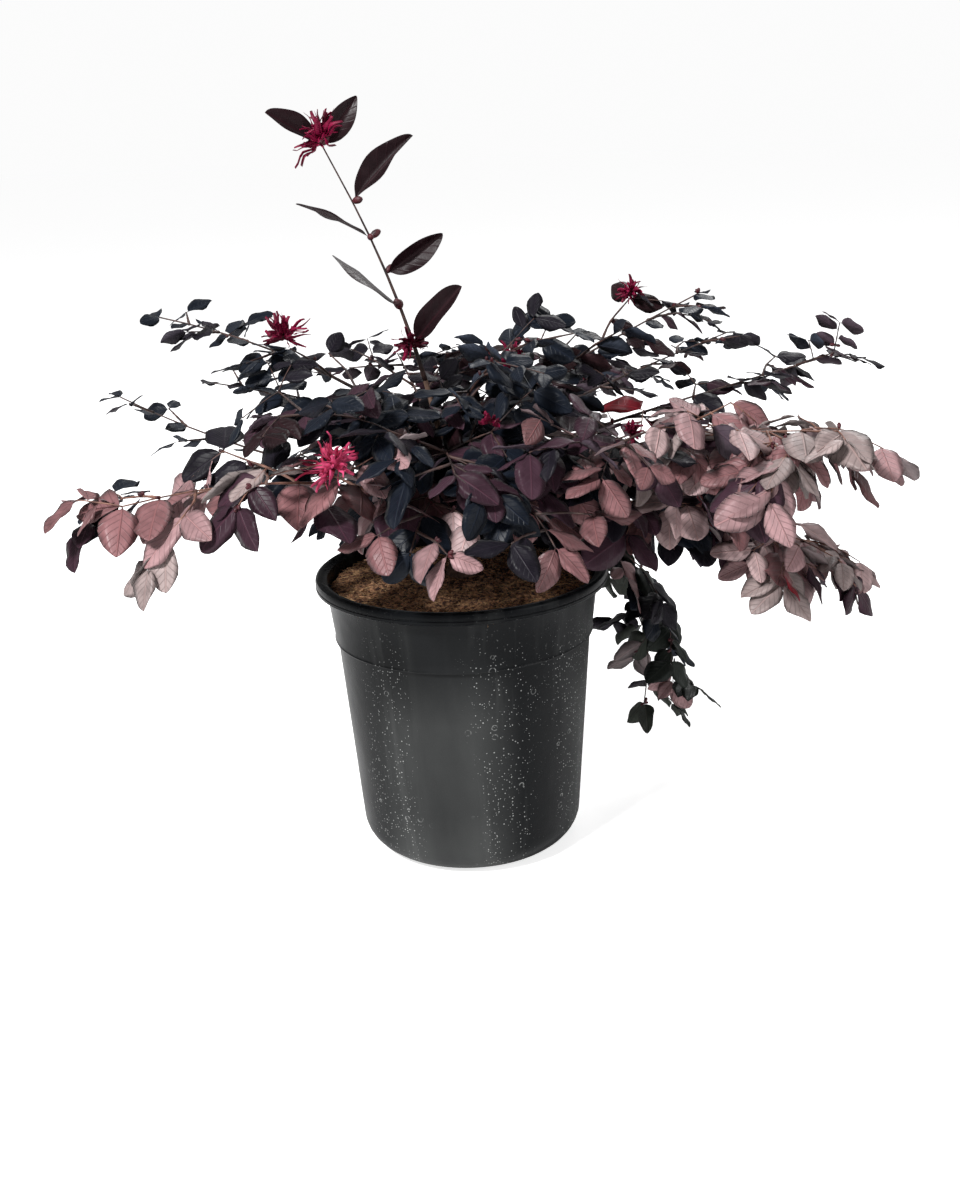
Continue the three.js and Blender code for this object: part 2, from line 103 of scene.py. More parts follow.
def choose(piece):
    """Leave this piece alone selected, for the next operator to work on."""
    deselect()
    piece.select_set(True)
    bpy.context.view_layer.objects.active = piece


def smooth(piece, angle):
    choose(piece)
    bpy.ops.object.shade_smooth_by_angle(angle=math.radians(angle))


def settle(piece):
    """Put the piece's place and size into its mesh."""
    choose(piece)
    bpy.ops.object.transform_apply(location=True, rotation=True, scale=True)


def edit_all():
    bpy.ops.object.mode_set(mode="EDIT")
    bpy.ops.mesh.select_all(action="SELECT")


def stop_editing():
    bpy.ops.object.mode_set(mode="OBJECT")


def raise_rings(name, profile, sides):
    """Draw a disc and extrude it from one (radius, height) of the profile to the next."""
    deselect()
    radius, height = profile[0]
    bpy.ops.mesh.primitive_circle_add(
        vertices=sides, radius=radius / 1000, fill_type="NGON", location=(0, 0, height / 1000),
    )
    piece = bpy.context.object
    piece.name = name
    edit_all()
    for next_radius, next_height in profile[1:]:
        rise = (0, 0, (next_height - height) / 1000)
        bpy.ops.mesh.extrude_region_move(TRANSFORM_OT_translate={"value": rise})
        share = next_radius / radius
        bpy.ops.transform.resize(value=(share, share, 1))
        radius, height = next_radius, next_height
    bpy.ops.mesh.select_all(action="SELECT")
    bpy.ops.mesh.normals_make_consistent(inside=False)
    stop_editing()
    settle(piece)
    return piece


def linear(code):
    """A colour as seen on a screen, such as 'c08a8a', as the shader's red, green, blue and alpha."""
    shades = [int(code[place:place + 2], 16) / 255 for place in (0, 2, 4)]
    return [shade / 12.92 if shade < 0.04 else ((shade + 0.055) / 1.055) ** 2.4 for shade in shades] + [1]


def feed(value, socket):
    value.id_data.links.new(value, socket)


def add(kind, inputs=None, tree=None, **settings):
    """Add a node to the tree that it reads, set its properties, and set or link its inputs."""
    inputs = inputs or {}
    read = [value for value in inputs.values() if isinstance(value, bpy.types.NodeSocket)]
    node = (tree or read[0].id_data).nodes.new(kind)
    for setting, value in settings.items():
        setattr(node, setting, value)
    for place, value in inputs.items():
        if value in read:
            feed(value, node.inputs[place])
        else:
            node.inputs[place].default_value = value
    return node


def sums(operation, first, second=0.5):
    return add("ShaderNodeMath", {0: first, 1: second}, operation=operation).outputs[0]


def plus(first, second):
    return sums("ADD", first, second)


def less(first, second):
    return sums("SUBTRACT", first, second)


def times(first, second):
    return sums("MULTIPLY", first, second)


def larger(first, second):
    return sums("MAXIMUM", first, second)


def between(value, low, high, to_low=0.0, to_high=1.0):
    stretch = {"Value": value, "From Min": low, "From Max": high, "To Min": to_low, "To Max": to_high}
    return add("ShaderNodeMapRange", stretch).outputs[0]


def tinted(share, first, second):
    return add("ShaderNodeMix", {0: share, 6: first, 7: second}, data_type="RGBA").outputs[2]


def clouds(place, scale, detail=3.0, stretch=(1, 1, 1)):
    """Soft noise over the piece, finer as scale grows, and drawn out along an axis by a small stretch."""
    mapped = add("ShaderNodeMapping", {"Vector": place, "Scale": stretch}).outputs[0]
    return add("ShaderNodeTexNoise", {"Vector": mapped, "Scale": scale, "Detail": detail}).outputs[0]


def finish(name, roughness, sheen=0.0, gloss=0.5):
    """A new material, its shader, and the place on the piece that its patterns read."""
    material = bpy.data.materials.new(name)
    material.use_nodes = True
    shader = material.node_tree.nodes["Principled BSDF"]
    shader.inputs["Roughness"].default_value = roughness
    shader.inputs["Sheen Weight"].default_value = sheen
    shader.inputs["Specular IOR Level"].default_value = gloss
    return material, shader, add("ShaderNodeTexCoord", tree=material.node_tree).outputs["Object"]


def relief(shader, height, distance):
    bump = add("ShaderNodeBump", {"Height": height, "Distance": distance, "Strength": 1.0})
    feed(bump.outputs[0], shader.inputs["Normal"])


def axis_of(place, axis):
    return add("ShaderNodeSeparateXYZ", {0: place}).outputs[axis]


def mask_group(name, *masks):
    """A group of nodes that reads a place and puts out masks: the group, the place and the masks' sockets."""
    group = bpy.data.node_groups.new(name, "ShaderNodeTree")
    group.interface.new_socket("Place", in_out="INPUT", socket_type="NodeSocketVector")
    for mask in masks:
        group.interface.new_socket(mask, in_out="OUTPUT", socket_type="NodeSocketFloat")
    place = group.nodes.new("NodeGroupInput").outputs["Place"]
    return group, place, group.nodes.new("NodeGroupOutput").inputs


def masks_of(group, place, *masks):
    """The masks that a group of nodes puts out for a place."""
    outputs = add("ShaderNodeGroup", {"Place": place}, node_tree=group).outputs
    return [outputs[mask] for mask in masks]


foot = FOOT_RADIUS - FOOT_ROUNDING
outside = []
inside = []
for step in range(FOOT_STEPS + 1):
    turn = math.pi / 2 * step / FOOT_STEPS
    outside.append((foot + FOOT_ROUNDING * math.sin(turn), FOOT_ROUNDING * (1 - math.cos(turn))))
    height = FOOT_ROUNDING - (FOOT_ROUNDING - WALL) * math.cos(turn)
    if height > POT_FLOOR:
        inside.insert(0, (foot + (FOOT_ROUNDING - WALL) * math.sin(turn), height))
pot_profile = [
    *outside,
    *[(SHOULDER_RADIUS + out, SHOULDER_HEIGHT + up) for out, up in SHOULDER_STEP],
    *[(radius, POT_HEIGHT + up) for radius, up in RIM],
    (SHOULDER_RADIUS - WALL, SHOULDER_HEIGHT),
    *inside,
    (inside[-1][0] - WALL, POT_FLOOR),
]
pot = raise_rings("nursery_pot", pot_profile, POT_SIDES)
for hole in range(DRAIN_HOLES):
    turn = 2 * math.pi * hole / DRAIN_HOLES
    centre = (DRAIN_CIRCLE / 1000 * math.cos(turn), DRAIN_CIRCLE / 1000 * math.sin(turn), POT_FLOOR / 1000)
    deselect()
    bpy.ops.mesh.primitive_cylinder_add(vertices=24, radius=DRAIN_RADIUS / 1000, depth=0.03, location=centre)
    drill = bpy.context.object
    drilled = pot.modifiers.new("drain_hole", "BOOLEAN")
    drilled.operation = "DIFFERENCE"
    drilled.object = drill
    bpy.context.view_layer.objects.active = pot
    bpy.ops.object.modifier_apply(modifier="drain_hole")
    bpy.data.objects.remove(drill)
smooth(pot, 32)

water_marks_and_light, place, masks = mask_group("water_marks_and_light", "Specks", "Runs", "DustAndLight")
sideways = axis_of(place, "X")


def columns(sideways, middles_and_widths):
    """A mask of upright bands on the pot, each fading out on both sides of its middle."""
    mask = 0.0
    for middle, width in middles_and_widths:
        away = sums("ABSOLUTE", less(sideways, middle))
        mask = larger(mask, between(away, width, 0.4 * width))
    return mask


def scattered(place, scale):
    """Spots strewn over the piece: how far from the nearest one, and its own number from 0 to 1."""
    cells = add("ShaderNodeTexVoronoi", {"Vector": place, "Scale": scale}).outputs
    return cells["Distance"], axis_of(cells["Color"], "X")


bands = clouds(place, 16.0, 1.0, (1, 1, 0.1))
bands = plus(bands, times(columns(sideways, WET_COLUMNS), 0.24))
wet = between(bands, 0.38, 0.66)
from_speck, chance = scattered(place, SPECK_SCALE)
speck_size = times(between(chance, 0.25, 1.0, *SPECK_SIZES), wet)
specks = between(less(speck_size, from_speck), 0.0, 0.05)
from_drop, chance = scattered(place, DROP_SCALE)
drop_size = between(clouds(place, 60.0, 1.0), 0.35, 0.65, *DROP_SIZES)
rings = between(sums("ABSOLUTE", less(from_drop, drop_size)), 0.05, 0.02)
rings = times(rings, times(sums("GREATER_THAN", chance, DROP_CHANCE), wet))
rings = times(rings, between(clouds(place, 420.0, 1.0), 0.42, 0.6, 0.0, 0.5))
thin_runs = between(clouds(place, 95.0, 3.0, (1, 1, 0.035)), 0.52, 0.75)
feed(larger(specks, rings), masks["Specks"])
feed(times(thin_runs, wet), masks["Runs"])
# Upright bands of thicker film: part dust, part painted light for the sunlit bands of the wall
feed(columns(sideways, DUST_AND_LIGHT_COLUMNS), masks["DustAndLight"])

plastic, shader, place = finish("black_plastic", 0.36, gloss=0.08)
specks, runs, dust_and_light = masks_of(water_marks_and_light, place, "Specks", "Runs", "DustAndLight")
height = axis_of(place, "Z")
film = 0.0
for begins, full, pale in FILM_BANDS:
    film = plus(film, between(height, begins, full, 0.0, pale))
uneven = clouds(place, 14.0, 4.0, (1, 1, 0.4))
film = times(film, between(uneven, 0.3, 0.7, 0.5, 1.3))
# The film is paler in those bands: part dust, part painted light
film = times(film, between(dust_and_light, 0.0, 1.0, 0.1, 1.75))
haze_and_light = plus(film, times(runs, 0.05))
specks_below = between(height, 0.19, 0.155, 0.1, 0.85)
marked = plus(haze_and_light, times(specks, specks_below))
feed(tinted(marked, PLASTIC, LIMESCALE), shader.inputs["Base Color"])
worn = between(clouds(place, 22.0, 4.0), 0.3, 0.7, 0.24, 0.32)
feed(plus(worn, between(haze_and_light, 0.0, 0.05, 0.0, 0.22)), shader.inputs["Roughness"])
grain = plus(clouds(place, 900.0, 2.0), times(clouds(place, 30.0, 2.0), 6.0))
relief(shader, grain, 0.00012)
pot.data.materials.append(plastic)
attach(pot, "root")
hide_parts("pot")


# The potting mix
# Moist composted bark and coir, filled almost to the rim and heaped a little round the trunk. Chips,
# splinters and golden fibres lie loose on top of the darker body.
SOIL_TOP = 202
SOIL_EDGE = 199
SOIL_SIDES = 180
SOIL_RINGS = 46
SOIL_REACH = 94.3
SOIL_SUNK = 1.6
HEAPS = 0.9
CRUMBS = 0.5
CLEARANCE = 0.3
MIX_SIDE = ((78, 22.3), (89.6, SHOULDER_HEIGHT), (94.6, SOIL_EDGE - 3))
CHIPS = 2600
CHIP_SIZE = (4.4, 2.3, 1.0)
SPLINTERS = 2600
SPLINTER_RADIUS = 0.7
SPLINTER_LENGTH = 9
FIBRES = 2200
FIBRE_RADIUS = 0.16
FIBRE_LENGTH = 16


def soil_height(x, y):
    """The lie of the potting mix at a place, in millimetres, with small heaps and hollows."""
    out = np.hypot(x, y) / SOIL_REACH
    broad = noise.noise(Vector((x * 0.045, y * 0.045, 3.1))) * 1.3
    small = noise.noise(Vector((x * 0.16, y * 0.16, 7.7)))
    return SOIL_TOP - SOIL_SUNK - (SOIL_TOP - SOIL_EDGE) * out * out + HEAPS * (broad + small)


def copies(name, points, faces, slots=None):
    """One mesh of many copies. points is copies by corners by 3, in millimetres, and faces are one copy's."""
    count, corners, _ = points.shape
    loops = np.concatenate([np.array(face) for face in faces])
    starts = np.cumsum([0] + [len(face) for face in faces[:-1]])
    steps = np.arange(count)[:, None]
    mesh = bpy.data.meshes.new(name)
    mesh.vertices.add(count * corners)
    mesh.vertices.foreach_set("co", (points / 1000).astype(np.float32).ravel())
    mesh.loops.add(count * len(loops))
    mesh.loops.foreach_set("vertex_index", (loops + corners * steps).ravel())
    mesh.polygons.add(count * len(faces))
    mesh.polygons.foreach_set("loop_start", (starts + len(loops) * steps).ravel())
    mesh.polygons.foreach_set("use_smooth", np.ones(count * len(faces), bool))
    if slots is not None:
        mesh.polygons.foreach_set("material_index", np.tile(slots, count))
    mesh.update(calc_edges=True)
    piece = bpy.data.objects.new(name, mesh)
    bpy.context.collection.objects.link(piece)
    return piece


def shape_of(piece):
    """A modelled shape's corners, in millimetres, and its faces. The shape itself is then removed."""
    corners = np.array([corner.co for corner in piece.data.vertices]) * 1000
    faces = [list(face.vertices) for face in piece.data.polygons]
    bpy.data.objects.remove(piece)
    return corners, faces


def turned_ways(rng, count, tilt):
    """Random turns about Z, each with a tilt of up to so many degrees, as rows of three unit vectors."""
    bearing = rng.uniform(0, 2 * np.pi, count)
    lean = np.radians(rng.uniform(-tilt, tilt, count))
    along = np.stack([np.cos(lean) * np.cos(bearing), np.cos(lean) * np.sin(bearing), np.sin(lean)], 1)
    across = np.stack([-np.sin(bearing), np.cos(bearing), np.zeros(count)], 1)
    return np.stack([along, across, np.cross(along, across)], 1)


def strewn(name, corners, faces, count, sizes, tilt, seed, innermost=0.0):
    """Lay copies of a small shape over the potting mix, in random sizes and turned at random."""
    rng = np.random.default_rng(seed)
    reach = (SOIL_REACH - 3) * np.sqrt(rng.uniform(innermost, 1, count))
    bearing = rng.uniform(0, 2 * np.pi, count)
    spots = np.stack([reach * np.cos(bearing), reach * np.sin(bearing)], 1)
    heights = np.array([soil_height(x, y) for x, y in spots]) + rng.uniform(0, 0.8, count)
    spots = np.concatenate([spots, heights[:, None]], 1)
    scale = rng.uniform(*sizes, count)[:, None, None] * rng.uniform(0.7, 1.3, (count, 1, 3))
    points = np.einsum("ncj,njk->nck", corners[None] * scale, turned_ways(rng, count, tilt))
    return copies(name, points + spots[:, None], faces)


def lying_rod(sides, radius, length):
    """Add a rod along X and leave it open for editing."""
    deselect()
    bpy.ops.mesh.primitive_cylinder_add(
        vertices=sides, radius=radius / 1000, depth=length / 1000, rotation=(0, math.pi / 2, 0),
    )
    settle(bpy.context.object)
    edit_all()


mix_profile = [(foot, POT_FLOOR + CLEARANCE), *MIX_SIDE]
mix_profile += [(radius, SOIL_EDGE) for radius in np.linspace(SOIL_REACH, 2, SOIL_RINGS)]
potting_mix = raise_rings("potting_mix_bed", mix_profile, SOIL_SIDES)
for corner in potting_mix.data.vertices:
    if corner.co.z > (SOIL_EDGE - 1) / 1000:
        x, y = corner.co.x * 1000, corner.co.y * 1000
        crumb = noise.noise(Vector((x * 0.5, y * 0.5, 1.3)))
        corner.co.z = (soil_height(x, y) + CRUMBS * crumb) / 1000
smooth(potting_mix, 60)

deselect()
bpy.ops.mesh.primitive_cube_add(size=0.001)
edit_all()
bpy.ops.transform.resize(value=CHIP_SIZE)
bpy.ops.mesh.bevel(offset=0.0004, segments=1)
stop_editing()
chip_shape = shape_of(bpy.context.object)
lying_rod(5, SPLINTER_RADIUS, SPLINTER_LENGTH)
bpy.ops.transform.resize(value=(1, 1.5, 0.8))
stop_editing()
splinter_shape = shape_of(bpy.context.object)
lying_rod(3, FIBRE_RADIUS, FIBRE_LENGTH)
for cut in (-0.004, 0.0, 0.004):
    bpy.ops.mesh.select_all(action="SELECT")
    bpy.ops.mesh.bisect(plane_co=(cut, 0, 0), plane_no=(1, 0, 0))
stop_editing()
fibre_corners, fibre_faces = shape_of(bpy.context.object)
fibre_corners[:, 1] += 1.4 * np.cos(fibre_corners[:, 0] * 0.28)
fibre_corners[:, 2] += 0.9 * np.cos(fibre_corners[:, 0] * 0.2)
fibre_shape = fibre_corners, fibre_faces
chips = strewn("bark_chips", *chip_shape, CHIPS, sizes=(0.55, 1.5), tilt=26, seed=11)
splinters = strewn("bark_splinters", *splinter_shape, SPLINTERS, sizes=(0.5, 1.2), tilt=16, seed=12)
fibres = strewn("coir_fibres", *fibre_shape, FIBRES, sizes=(0.6, 1.2), tilt=12, seed=13, innermost=0.12)


def mottled(name, roughness, colours, patches, spread, bumps, gloss=0.5):
    """A material of two colours in patches, given as scale and detail, over bumps, which have a depth too."""
    material, shader, place = finish(name, roughness, gloss=gloss)
    share = between(clouds(place, *patches), *spread)
    feed(tinted(share, *map(linear, colours)), shader.inputs["Base Color"])
    relief(shader, clouds(place, *bumps[:2]), bumps[2])
    return material


# Piece, name and colours of its material, and how fine the patches are
for piece, name, colours, grain in (
    (potting_mix, "moist_mix", ("20130d", "6a4430"), 300.0),
    (chips, "bark_chip", ("3a231a", "ba8a66"), 340.0),
    (splinters, "bark_splinter", ("4c2f22", "d2a27a"), 300.0),
    (fibres, "coir", ("845a3c", "e8be8e"), 240.0),
):
    bumps = (3 * grain, 3.0, 0.0005)
    material = mottled(name, 0.92, colours, patches=(grain, 3.0), spread=(0.4, 0.62), bumps=bumps)
    piece.data.materials.append(material)
    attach(piece, "root")
    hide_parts("potting_mix")


# The trunk and the boughs
# A short woody stem that flares where it enters the potting mix, with slender boughs leaving it all round.
# The bark is thin, brown and finely fissured lengthways. Every limb keeps the course that its solids give it.
TRUNK_HEIGHT = 92
TRUNK_FLARE = 11
TRUNK_NECK = 6.6
TRUNK_TOP = 3.8
LEAN = (-9, 3)
TRUNK_RINGS = 18
ROOT_LOBES = 4
ROOT_REACH = (2.6, 4.2, 7, 10.4)
ROOT_RISE = (20, 11, 4.5, -2.4)
ROOT_RADII = (2.8, 3.2, 2.9, 2.1)
COLLAR = (3.4, 2.3)
BOUGH_BASE = 2.2
BOUGH_TIP = 1.8
BOUGH_STEP = 30
STEM_TIP = 0.5
BARK_VOXEL = 0.00062
FISSURES = 0.42
FLAKES = 0.4
BARK_COLOURS = ("34241e", "7e6252")
# Height is that on the trunk, and turn how far the leafy part turns. Climb is given at the trunk, where the
# leaves begin and at the tip. Bare, leafy, twig and leaf are lengths, gap is that between nodes, and faces is
# the bearing that an upright limb's leaves face. Blooms lists the nodes that flower, 0 for the tip, and bushy
# is how thickly finer twigs grow.
LIMB_PARTS = (
    "height", "bearing", "turn", "climb", "bare", "leafy", "twig", "droop", "gap", "faces", "blooms",
    "colours", "leaf", "bushy",
)
# A limb's colours pick its leaf tints and twig bark, painted as sunlit on some limbs and shaded on others
LIMBS = {
    "leader": (92, 196, 8, (80, 76, 62), 50, 154, 0, -0.1, 27, 268, (0, 1), "maroon", 52, 0),
    "upper_left": (84, 188, -8, (60, 38, 14), 40, 180, 46, 0.1, 20, 0, (3,), "dark", 26, 0.05),
    "left": (51, 174, 8, (34, 10, 30), 50, 196, 54, 0.1, 24, 0, (), "dark", 23, 0),
    "left_behind": (63, 150, 22, (44, 26, 8), 46, 154, 58, 0.1, 21, 0, (), "dark", 22, 0),
    "low_left": (38, 220, -12, (42, 24, -6), 46, 212, 60, 0.4, 23, 0, (3,), "rosy", 46, 0.1),
    "front_left": (26, 262, -12, (68, 48, -44), 30, 130, 62, 0.4, 16, 0, (), "front", 38, 0),
    "front_right": (44, 292, 4, (52, 32, -40), 32, 136, 62, 0.4, 16, 0, (), "wine", 38, 0),
    "middle_left": (70, 230, -20, (58, 40, 0), 30, 130, 60, 0.3, 18, 0, (), "dark", 34, 0.35),
    "middle": (62, 266, 12, (56, 36, -14), 28, 118, 60, 0.4, 17, 0, (3,), "dark", 38, 0.4),
    "middle_top": (81, 300, 20, (68, 60, 20), 30, 104, 58, 0.2, 18, 0, (3,), "dark", 28, 0.22),
    "middle_right": (67, 322, -6, (44, 24, -8), 32, 146, 62, 0.4, 17, 0, (), "wine", 38, 0.4),
    "upper_right": (88, 2, -10, (54, 30, 26), 36, 170, 54, 0.2, 20, 0, (5,), "brown", 26, 0.1),
    "high_right": (73, 30, -8, (40, 16, 14), 46, 210, 54, 0.1, 24, 0, (), "dark", 26, 0.1),
    "far_right": (64, 12, 2, (30, 14, 10), 50, 250, 54, 0.2, 27, 0, (), "mixed", 29, 0.35),
    "right": (54, 342, -12, (36, 18, 2), 46, 228, 62, 0.5, 23, 0, (4,), "dusty", 46, 0.9),
    "low_right": (34, 352, -4, (30, 6, -26), 56, 218, 58, 0.5, 27, 0, (), "pale", 42, 1.35),
    "hanging_right": (42, 26, 6, (30, -20, -104), 64, 230, 52, 0.4, 28, 0, (), "green", 36, 0.5),
    "back_right": (60, 64, -10, (44, 22, -6), 44, 190, 64, 0.3, 23, 0, (4,), "mixed", 32, 0.35),
    "back": (48, 98, 12, (42, 18, -12), 42, 184, 64, 0.3, 23, 0, (), "mixed", 32, 0.35),
    "middle_back": (77, 112, -16, (56, 38, 0), 30, 128, 60, 0.3, 19, 0, (), "dark", 28, 0.35),
    "back_left": (30, 134, 10, (42, 16, -16), 46, 182, 60, 0.3, 23, 0, (), "mixed", 30, 0.25),
}
STAND = np.array([0, 0, SOIL_TOP + CLEARANCE])


def unit(way):
    return way / np.linalg.norm(way)


def mix(ends, share):
    return ends[0] + (ends[1] - ends[0]) * share


def heading(bearing, climb):
    turn, rise = math.radians(bearing), math.radians(climb)
    return np.array([math.cos(rise) * math.cos(turn), math.cos(rise) * math.sin(turn), math.sin(rise)])


def arch(start, bearings, climbs, length, steps):
    """Points along a run that turns evenly from its first heading to its last."""
    points = [start]
    for step in range(steps):
        share = (step + 0.5) / steps
        points.append(points[-1] + heading(mix(bearings, share), mix(climbs, share)) * length / steps)
    return points


def trunk_point(height):
    share = height / TRUNK_HEIGHT
    return np.array([LEAN[0] * share * share, LEAN[1] * share * share, height])


def nearest_whole(value):
    return int(value + 0.5)


limbs = []
for name, row in LIMBS.items():
    limb = SimpleNamespace(**dict(zip(LIMB_PARTS, row)), name=name, seed=1000 * (len(limbs) + 1))
    bearing, climb, bare, leafy = limb.bearing, limb.climb, limb.bare, limb.leafy
    steps = nearest_whole(bare / BOUGH_STEP) + 1
    bough = arch(trunk_point(limb.height), (bearing, bearing), climb[:2], bare, steps)
    begins = bough[-1] + heading(bearing, climb[1]) * CLEARANCE
    nodes = nearest_whole(leafy / limb.gap)
    limb.bough = bough
    limb.stem = arch(begins, (bearing, bearing + limb.turn), climb[1:], leafy, nodes)
    limbs.append(limb)

bark_lines = bpy.data.curves.new("bark_lines", "CURVE")
bark_lines.dimensions = "3D"
bark_lines.bevel_depth = 0.001
bark_lines.bevel_resolution = 4
bark_lines.use_fill_caps = True


def draw_limb(points, radii):
    """Add a smooth run through the points to the bark's lines, as thick at each as its radius says."""
    line = bark_lines.splines.new("POLY")
    line.points.add(len(points) - 1)
    for spot, point, radius in zip(line.points, points, radii):
        spot.co = (*((point + STAND) / 1000), 1)
        spot.radius = radius


def finely(points, count):
    """The run again with more points, rounded between the ones that it had."""
    steps = np.array(points)
    lengths = np.concatenate([[0], np.cumsum(np.linalg.norm(np.diff(steps, axis=0), axis=1))])
    spots = np.linspace(0, lengths[-1], count)
    fine = np.stack([np.interp(spots, lengths, steps[:, axis]) for axis in range(3)], 1)
    fine[1:-1] = fine[1:-1] * 0.5 + (fine[:-2] + fine[2:]) * 0.25
    return fine


heights = np.concatenate([[-3, 0, 3, 7], np.linspace(12, TRUNK_HEIGHT, TRUNK_RINGS)])
low = np.clip(1 - heights / 14, 0, 1.2)
draw_limb(
    [trunk_point(height) for height in heights],
    mix((TRUNK_NECK, TRUNK_TOP), heights / TRUNK_HEIGHT) + (TRUNK_FLARE - TRUNK_NECK - 0.6) * low ** 2,
)
for lobe in range(ROOT_LOBES):
    turn = 2 * math.pi * lobe / ROOT_LOBES
    along, across = math.cos(turn), math.sin(turn)
    root = [(reach * along, reach * across, rise) for reach, rise in zip(ROOT_REACH, ROOT_RISE)]
    draw_limb(np.array(root), ROOT_RADII)
for limb in limbs:
    count = 4 * len(limb.bough)
    draw_limb(finely(limb.bough, count), np.linspace(BOUGH_BASE + 0.25, BOUGH_TIP, count))
    draw_limb(finely(limb.bough, 40)[:5], np.linspace(*COLLAR, 5))
bark = bpy.data.objects.new("trunk_and_boughs", bark_lines)
bpy.context.collection.objects.link(bark)
choose(bark)
bpy.ops.object.convert(target="MESH")
bark = bpy.context.object
fused = bark.modifiers.new("fused", "REMESH")
fused.mode = "VOXEL"
fused.voxel_size = BARK_VOXEL
bpy.ops.object.modifier_apply(modifier="fused")
softened = bark.modifiers.new("softened", "SMOOTH")
softened.iterations = 3
bpy.ops.object.modifier_apply(modifier="softened")
corners = len(bark.data.vertices)
spots = np.zeros(3 * corners, np.float32)
normals = np.zeros(3 * corners, np.float32)
bark.data.vertices.foreach_get("co", spots)
bark.data.vertex_normals.foreach_get("vector", normals)
spots = spots.reshape(-1, 3)
swells = []
for x, y, z in spots * 1000:
    fissure = noise.noise(Vector((x * 0.75, y * 0.75, z * 0.16)))
    flake = noise.noise(Vector((x * 0.3, y * 0.3, z * 0.22 + 9)))
    thick = min(1, max(0.25, 1.2 - (z - SOIL_TOP) / 110))
    swells.append((FISSURES * abs(fissure) + FLAKES * flake - 0.15) * thick / 1000)
spots += normals.reshape(-1, 3) * np.array(swells, np.float32)[:, None]
bark.data.vertices.foreach_set("co", spots.ravel())
bark.data.update()
edit_all()
bpy.ops.mesh.bisect(plane_co=STAND / 1000, plane_no=(0, 0, 1), clear_inner=True, use_fill=True)
stop_editing()
smooth(bark, 70)

material, shader, place = finish("brown_bark", 0.82)
streaks = clouds(place, 420.0, 5.0, (1, 1, 0.22))
patches = clouds(place, 60.0, 3.0, (1, 1, 0.5))
shade = plus(times(streaks, 0.6), times(patches, 0.5))
brown = tinted(between(shade, 0.4, 0.68), *map(linear, BARK_COLOURS))
feed(brown, shader.inputs["Base Color"])
relief(shader, streaks, 0.0006)
bark.data.materials.append(material)
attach(bark, "root")
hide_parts("trunk", *[f"bough_{limb.name}" for limb in limbs])


# The twigs
# Young shoots that carry straight on from the boughs. Their bark is painted dark brown on limbs taken as
# shaded and a lighter ruddy brown on sunlit ones: painted shade and light. Side twigs leave a stem left and
# right by turns, zigzag from leaf to leaf, and fork again into finer ones that end in the smallest leaves.
STEM_POINTS = 40
TWIG_POINTS = 9
TWIG_RADII = (1.1, 0.5)
TWIG_KNOBS = 0.12
TWIG_GAP = 21
TWIG_ZIGZAG = 9
TWIG_SAG = 4
TWIG_LENGTHS = (0.75, 1.2)
TWIG_LENGTH_ALONG_STEM = (1.15, 0.55)
TWIG_SPREAD = (44, 72)
TWIG_RISE = (-12, 28)
TWIG_FOLLOWS_STEM = 0.5
WOOD_MARGIN = 3.2
FINE_MARGIN = 1.5
SPACE_MARGIN = 1.6
OVER_SOIL = (85, 204.5)
OVER_RIM = (109, 211)
LOWEST = 10
FINE_LENGTHS = (16, 40)
FINE_GAP = 9
FINE_OVER_SOIL = (98, 232)
FINE_SPREAD = (38, 66)
FINE_LIFT = (-0.35, 0.45)
FINE_RADII = (0.55, 0.35)
SHOOT_LENGTHS = (26, 58)
SHOOTS_ON_BOUGH = (3, 4, 5, 6)
PROUD = 14
LEADER_RISE = 14
# Limbs taken as sunlit: their twigs get the lighter ruddy bark as painted light, and a few red leaves
SUNLIT_KINDS = ("rosy", "dusty", "pale")
# Bark of the twigs on limbs taken as shaded, and a lighter ruddy copy for sunlit ones: painted shade and
# light
YOUNG_BARK_BY_LIGHT = {"dark": ("211516", "4c342e"), "ruddy": ("50322b", "8c6455")}


def seeded(seed):
    """The run of numbers from 0 to 1 that the solids grow by: the same seed always gives the same run."""
    state = seed * 7919
    while True:
        state = (state * 48271) % 2147483647
        yield state / 2147483647


def segments(runs):
    starts = np.array([point for run in runs for point in run[:-1]])
    ends = np.array([point for run in runs for point in run[1:]])
    owners = np.array([index for index, run in enumerate(runs) for _ in run[1:]])
    return starts, ends - starts, owners


stem_starts, stem_ways, stem_owners = segments([limb.stem for limb in limbs])
wood_runs = [[trunk_point(TRUNK_HEIGHT * share) for share in (0, 0.5, 1)], *[limb.bough for limb in limbs]]
wood_starts, wood_ways, wood_owners = segments(wood_runs)
wood_radii = np.where(wood_owners == 0, TRUNK_NECK, BOUGH_BASE)


def distances(point, starts, ways):
    share = np.clip(((point - starts) * ways).sum(1) / (ways * ways).sum(1), 0, 1)
    return np.linalg.norm(starts + ways * share[:, None] - point, axis=1)


def clear_of_pot(point):
    height = point[2] + STAND[2]
    radius = math.hypot(point[0], point[1])
    if radius < OVER_SOIL[0]:
        return height > OVER_SOIL[1]
    if radius < OVER_RIM[0]:
        return height > OVER_RIM[1]
    return height > LOWEST


def clear_of_soil(point):
    """Whether a point keeps out of the low space over the potting mix, too shaded for finer twigs."""
    reach, height = FINE_OVER_SOIL
    return math.hypot(point[0], point[1]) > reach or point[2] + STAND[2] > height


def within_reach(point):
    """Whether a point keeps to the box of the solids, or close to it."""
    low, high = np.array(cad_low) * 1000 - PROUD, np.array(cad_high) * 1000 + PROUD
    return np.all(point + STAND > low) and np.all(point + STAND < high)


def clear_of_wood(point, margin):
    return np.all(distances(point, wood_starts, wood_ways) - wood_radii > margin)


